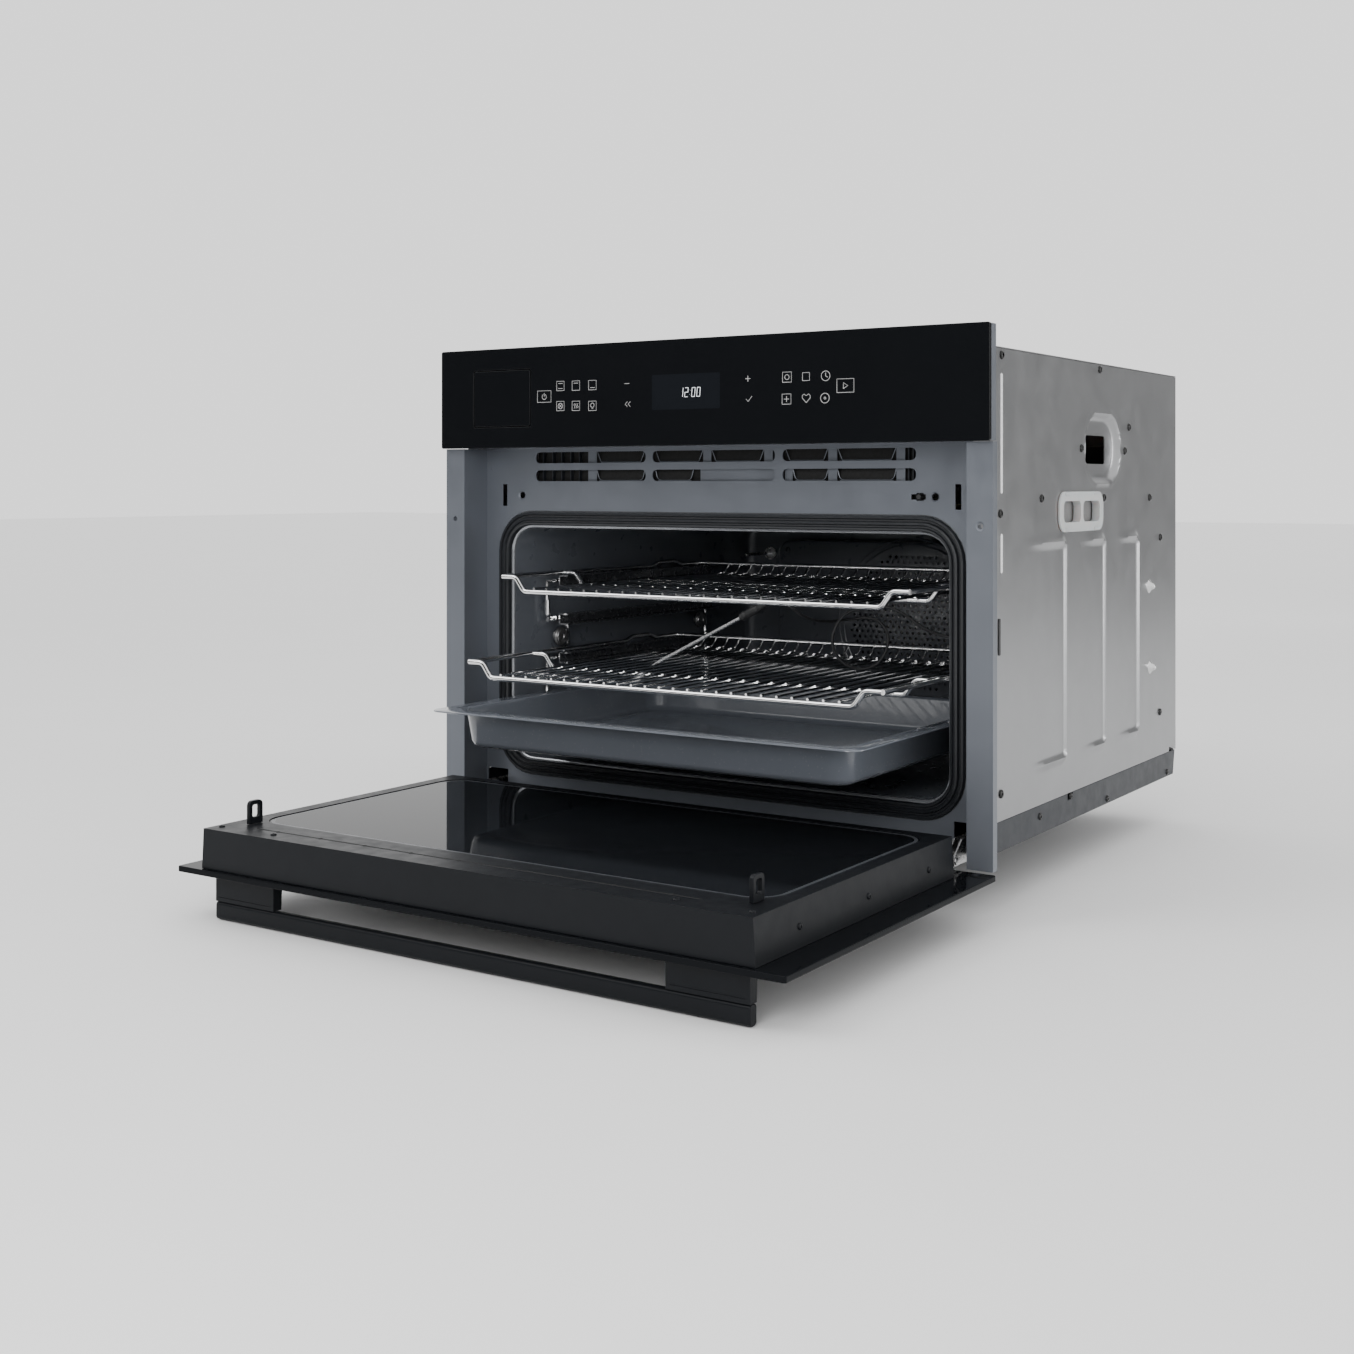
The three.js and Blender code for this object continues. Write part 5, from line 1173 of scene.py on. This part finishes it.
def makeSidePanels(s):
    for hand, side in sides.items():
        node = "side_panel_" + hand
        sheet = span(node)
        outer = sheet.x1 if side > 0 else sheet.x0
        bm = bmesh.new()
        addSheet(bm, (outer, sheet.y0, sheet.z0), (outer, sheet.y1, sheet.z1), (side, 0, 0), s["step"], sideRelief(s, side))
        faceTowards(bm, (side, 0, 0))
        cutter = bmesh.new()
        reach = (outer - 0.01, outer + 0.01)
        (gripY0, gripY1), (gripZ0, gripZ1) = s["grip"]
        addRounded(cutter, reach, (gripY0 * mm, gripY1 * mm), (gripZ0 * mm, gripZ1 * mm), 0, 4 * mm, 5)
        if side > 0:
            (y0, y1), (z0, z1) = s["window"]
            addRounded(cutter, reach, (y0 * mm, y1 * mm), (z0 * mm, z1 * mm), 0, 9 * mm, 6)
        foot = addBlock(cutter, reach, (sheet.y1 - 0.02, sheet.y1 + 0.02), (sheet.z0 - 0.02, sheet.z0))
        bmesh.ops.rotate(cutter, cent=(outer, sheet.y1, 0.040), matrix=Matrix.Rotation(radians(-12.7), 3, "X"), verts=foot)
        makePiece("sidePanel" + hand.title(), bm, zincSheet, "oven", [node], cutter=cutter, wall=s["wall"])
        bm = bmesh.new()
        # the side screws take the near-black finish: painted shade for the dark ring round each head
        for y, z in s["screws"]:
            addScrew(bm, (outer, (y - 289.5) * mm, (z - 3) * mm), (side, 0, 0), 3.9 * mm)
        for y, z in s["baseScrews"]:
            addScrew(bm, (outer, (y - 289.5) * mm, max(z - 3, 5) * mm), (side, 0, 0), 3.3 * mm)
        makePiece("sideScrews" + hand.title(), bm, paintedShadeScrewZinc, "oven")
        bm = bmesh.new()
        for y, z in s["nubs"]:
            addTurned(bm, [(-0.0004, 0), (-0.0004, 0.0075), (0.0004, 0.0068), (0.0018, 0.0045), (0.0042, 0.0030), (0.0056, 0.0022),
                           (0.0062, 0.0010), (0.0062, 0)],
                      (outer, (y - 289.5) * mm, (z - 3) * mm), (side, 0, 0), 24)
        makePiece("sideNubs" + hand.title(), bm, screwZinc, "oven")
        bm = bmesh.new()
        # thin near-white strips, painted in as the highlight on the side panel's front bend, and a black tab
        for y, z0, z1 in s["highlightStrips"]:
            x = sorted((outer, outer + side * 0.0006))
            addRounded(bm, x, (y * mm - 0.0022, y * mm + 0.0022), (z0 * mm, z1 * mm), 0, 1.6 * mm, 4)
        y, z0, z1 = s["tab"]
        tab = addRounded(bm, sorted((outer, outer + side * 0.0009)), (y * mm - 0.002, y * mm + 0.002),
                         (z0 * mm, z1 * mm), 0, 1.5 * mm, 4)
        paint(bm, tab, 1)
        makePiece("sideHighlightStripsAndTab" + hand.title(), bm, [paintedEdgeHighlight, blackPlastic], "oven", edge=0.0002)


makeSidePanels(casingSet)

backSet = {"ribRise": 1.2 * mm, "ribs": (-190, -70, 50), "beadRise": 1.4 * mm, "terminalX": (155, 225), "terminalZ": (365, 405),
           "screws": [(x, z) for x in (-265, -90, 90, 265) for z in (428, 48)]
           + [(x, z) for x in (-265, 265) for z in (150, 300)], "dimple": 1.8 * mm}


def backRelief(s):
    def relief(place):
        x, z = place.x / mm, place.z / mm
        sink = 0
        for rib in s["ribs"]:
            near = 1 - smoothStep(abs(x - rib), 5, 9)
            sink = max(sink, near * smoothStep(z, 140, 150) * (1 - smoothStep(z, 395, 405)))
        frame = max(abs(x) / 250, abs(z - 238) / 178)
        sink = max(sink, 0.8 * (1 - smoothStep(abs(frame - 1) * 220, 3, 7)))
        well = max(1 - smoothStep(hypot(x - a, z - b), 5, 9) for a, b in s["screws"])
        return -max(s["ribRise"] * sink, s["dimple"] * well)
    return relief


def topRelief(s):
    def relief(place):
        x, y = place.x / mm, place.y / mm
        sink = 0
        for row in (-170, -60, 50):
            sink = max(sink, (1 - smoothStep(abs(y - row), 6, 11)) * (1 - smoothStep(abs(x), 195, 210)))
        return -s["beadRise"] * sink
    return relief


def addSlots(bm, x, y, z, count, pitch):
    for i in range(count):
        shift = (i - (count - 1) / 2) * pitch
        addRounded(bm, (x[0] + shift, x[1] + shift), y, z, 1 if abs(y[1] - y[0]) < 0.03 else 2, 3.4 * mm, 5)


def makeCasing(s):
    rear, top = span("rear_panel"), span("top_cover")
    bm = bmesh.new()
    addSheet(bm, (rear.x0, rear.y1, rear.z0), (rear.x1, rear.y1, rear.z1), (0, 1, 0), 3.2 * mm, backRelief(s))
    faceTowards(bm, (0, 1, 0))
    cutter = bmesh.new()
    reach = (rear.y1 - 0.01, rear.y1 + 0.01)
    addSlots(cutter, (-0.004, 0.004), reach, (0.070, 0.120), 8, 0.024)
    addRounded(cutter, [x * mm for x in s["terminalX"]], reach, [z * mm for z in s["terminalZ"]], 1, 3 * mm, 4)
    makePiece("rearPanel", bm, zincSheet, "oven", ["rear_panel"], cutter=cutter, wall=1 * mm)
    bm = bmesh.new()
    addBlock(bm, (rear.x0, rear.x1), (0.2688, 0.2698), (0.0262, 0.0402))
    for i in range(9):
        x = (i - 4) * 0.06
        addRounded(bm, (x - 0.014, x + 0.014), (0.2694, 0.2704), (0.030, 0.036), 1, 2 * mm, 4)
    makePiece("rearFoot", bm, zincSheet, "oven", edge=0.0003)
    bm = bmesh.new()
    addSheet(bm, (top.x0, top.y0, top.z1), (top.x1, top.y1, top.z1), (0, 0, 1), 4.4 * mm, topRelief(s))
    faceTowards(bm, (0, 0, 1))
    cutter = bmesh.new()
    addSlots(cutter, (-0.004, 0.004), (top.y1 - 0.1035, top.y1 - 0.0435), (top.z1 - 0.01, top.z1 + 0.01), 8, 0.024)
    makePiece("topCover", bm, zincSheet, "oven", ["top_cover"], cutter=cutter, wall=1 * mm)
    bm = bmesh.new()
    for x, z in s["screws"]:
        addScrew(bm, (x * mm, rear.y1 - s["dimple"], z * mm), (0, 1, 0))
    for x in (-0.265, -0.09, 0.09, 0.265):
        addScrew(bm, (x, top.y0 + 0.012, top.z1), (0, 0, 1))
        addScrew(bm, (x, top.y1 - 0.012, top.z1), (0, 0, 1))
    makePiece("casingScrews", bm, screwZinc, "oven")
    bm = nodeCopy("base_pan")
    pan = span("base_pan")
    cutter = bmesh.new()
    for x0, x1 in ((pan.x0 - 0.001, pan.x0 + 0.003), (pan.x1 - 0.003, pan.x1 + 0.001)):
        addBlock(cutter, (x0, x1), (-0.055, -0.042), (0.020, 0.030))
    makePiece("basePan", bm, darkSheet, "oven", ["base_pan"], 0.0004, cutter)
    bm = nodeCopy("side_grommet_right")
    rim = span("side_grommet_right")
    for y in (rim.y0 + 0.02, rim.y1 - 0.02):
        for z in (rim.z0 + 0.0022, rim.z1 - 0.0022):
            addRounded(bm, (rim.x1 - 0.0006, rim.x1 + 0.0005), (y - 0.006, y + 0.006), (z - 0.0016, z + 0.0016), 0, 1.2 * mm, 3)
    middle = (rim.y0 + rim.y1) / 2
    for y0, y1 in ((rim.y0 + 0.009, middle - 0.002), (middle + 0.002, rim.y1 - 0.009)):
        flap = addRounded(bm, (rim.x0 - 0.0015, rim.x0 - 0.0008), (y0, y1), (rim.z0 + 0.006, rim.z1 - 0.006), 0, 5 * mm, 4)
        paint(bm, flap, 1)
    makePiece("sideGrommet", bm, [grayPlastic, flapGray], "oven", ["side_grommet_right"], 0.0005)


makeCasing(backSet)
print("casing made")

# ---- probe ----
probeSet = {"tip": (-86, -225.5, 139.4), "way": (0.894, -0.0125, 0.4475), "sides": 28,
            "rod": [(0, 0), (6, 0.9), (14, 1.6), (22, 1.75), (118, 1.75), (119, 0)],
            "grip": [(118.2, 0), (118.2, 3.2), (119.6, 4.0), (124, 4.1), (125, 3.6), (126.5, 3.6), (127.5, 4.2),
                     (138, 4.0), (139, 3.5), (140.5, 3.5), (141.5, 3.9), (146, 3.0), (149.6, 2.2), (150, 0)],
            "plug": [(0, 0), (0, 2.6), (0.6, 4.0), (2, 4.45), (7.3, 4.45), (7.6, 3.1), (24.4, 3.1), (25.4, 2.2), (25.4, 0)]}


def makeProbe(s):
    bm = bmesh.new()
    tip = Vector(s["tip"]) * mm
    addTurned(bm, [(along * mm, radius * mm) for along, radius in s["rod"]], tip, s["way"], s["sides"])
    makePiece("probeRod", bm, brightSteel, "oven", ["probe_rod"])
    bm = bmesh.new()
    addTurned(bm, [(along * mm, radius * mm) for along, radius in s["grip"]], tip, s["way"], s["sides"])
    grip = makePiece("probeGrip", bm, blackPlastic, "oven", ["probe_grip"])
    bm = bmesh.new()
    plugBox = span("probe_plug")
    place = (plugBox.x0, (plugBox.y0 + plugBox.y1) / 2, (plugBox.z0 + plugBox.z1) / 2)
    addTurned(bm, [(along * mm, radius * mm) for along, radius in s["plug"]], place, (1, 0, 0), s["sides"])
    plug = makePiece("probePlug", bm, [blackPlastic, brightSteel], "oven", ["probe_plug"])
    paintFaces(plug, 1, lambda place, normal: place.x > plugBox.x0 + 0.0076)
    probeLead.data.materials.append(leadBraid)


makeProbe(probeSet)

# ---- inside the casing ----
innerSet = {"cavity_lamp": None}


def makeInside():
    edged = [("control_board", "controlBoard", circuitGreen, "circuit_board"),
             ("switch_plunger", "switchPlunger", blackPlastic, "black_plastic"),
             ("insulation", "insulationWrap", glassWool, "mineral_wool"),
             ("fan_wheel", "fanWheel", brightSteel, "bright_steel"),
             ("fan_motor", "fanMotor", brightSteel, "bright_steel"),
             ("ring_heater", "ringHeater", darkWire, "dark_steel"),
             ("cooling_duct", "coolingDuct", zincSheet, "zinc_sheet"),
             ("cooling_fan_housing", "coolingFanHousing", zincSheet, "zinc_sheet"),
             ("cooling_rotor", "coolingRotor", blackPlastic, "black_plastic"),
             ("power_board", "powerBoard", circuitGreen, "circuit_board"),
             ("terminal_block", "terminalBlock", grayPlastic, "grey_plastic"),
             ("steam_generator", "steamGenerator", brightSteel, "bright_steel"),
             ("water_pump", "waterPump", grayPlastic, "grey_plastic")]
    for node, name, finish, slot in edged:
        body = next(body for body, nodes in frame["record"]["behaviour"]["bodies"].items() if node in nodes)
        makePiece(name, nodeCopy(node), finish, body, [node], 0.0003)


makeInside()
print("inside made")

# ---- floor and light ----
stageSet = {
    "floor": 30, "floorDrop": 0.0006, "world": 1.5,
    # dark and gray cards out of sight, each by its middle, width, height, the way it faces and its tone
    "cards": {"frontCard": ((-1.6, -3.3, 1.5), 6.6, 3.2, (0, 1, 0), 0.02),
              "backCard": ((2.15, 3.3, 1.3), 2.9, 2.8, (0, -1, 0), 0.16)},
    "lights": {"keyLight": ((-1.3, -1.9, 2.0), (0, 0, 0.2), 1.4, 1.4, 24),
               "sideLight": ((2.5, 1.25, 0.5), (0.28, 0.05, 0.2), 0.5, 1.5, 18),
               "mouthLight": ((0.45, -1.9, 0.75), (0, 0, 0.15), 0.7, 0.7, 14)},
}


def makeStage(s):
    bm = bmesh.new()
    bmesh.ops.create_grid(bm, x_segments=2, y_segments=2, size=s["floor"] / 2,
                          matrix=Matrix.Translation((0, 0, span("handle_bar").z0 - s["floorDrop"])))
    floor = meshObject("floor", bm)
    floor.data.materials.append(makeFinish("floorPaint", gray(0.86), gray(0.84), (0.7, 0.85), 4))
    for name, (place, width, height, way, tone) in s["cards"].items():
        bm = bmesh.new()
        bmesh.ops.create_grid(bm, x_segments=1, y_segments=1, size=0.5,
                              matrix=towards(place, way) @ Matrix.Diagonal((width, height, 1, 1)))
        card = meshObject(name, bm)
        card.visible_camera = False
        card.data.materials.append(makeFinish(name, gray(tone), gray(tone * 0.9), (0.8, 0.9), 4))
    world = bpy.data.worlds.new("world")
    world.use_nodes = True
    background = world.node_tree.nodes["Background"]
    background.inputs["Color"].default_value = (1, 1, 1, 1)
    background.inputs["Strength"].default_value = s["world"]
    bpy.context.scene.world = world
    for name, (place, target, width, height, power) in s["lights"].items():
        light = bpy.data.lights.new(name, "AREA")
        light.energy = power
        light.shape = "RECTANGLE"
        light.size = width
        light.size_y = height
        lamp = bpy.data.objects.new(name, light)
        lamp.location = place
        lamp.rotation_euler = (Vector(target) - Vector(place)).to_track_quat("-Z", "Y").to_euler()
        bpy.context.scene.collection.objects.link(lamp)


makeStage(stageSet)
print("light and floor made")
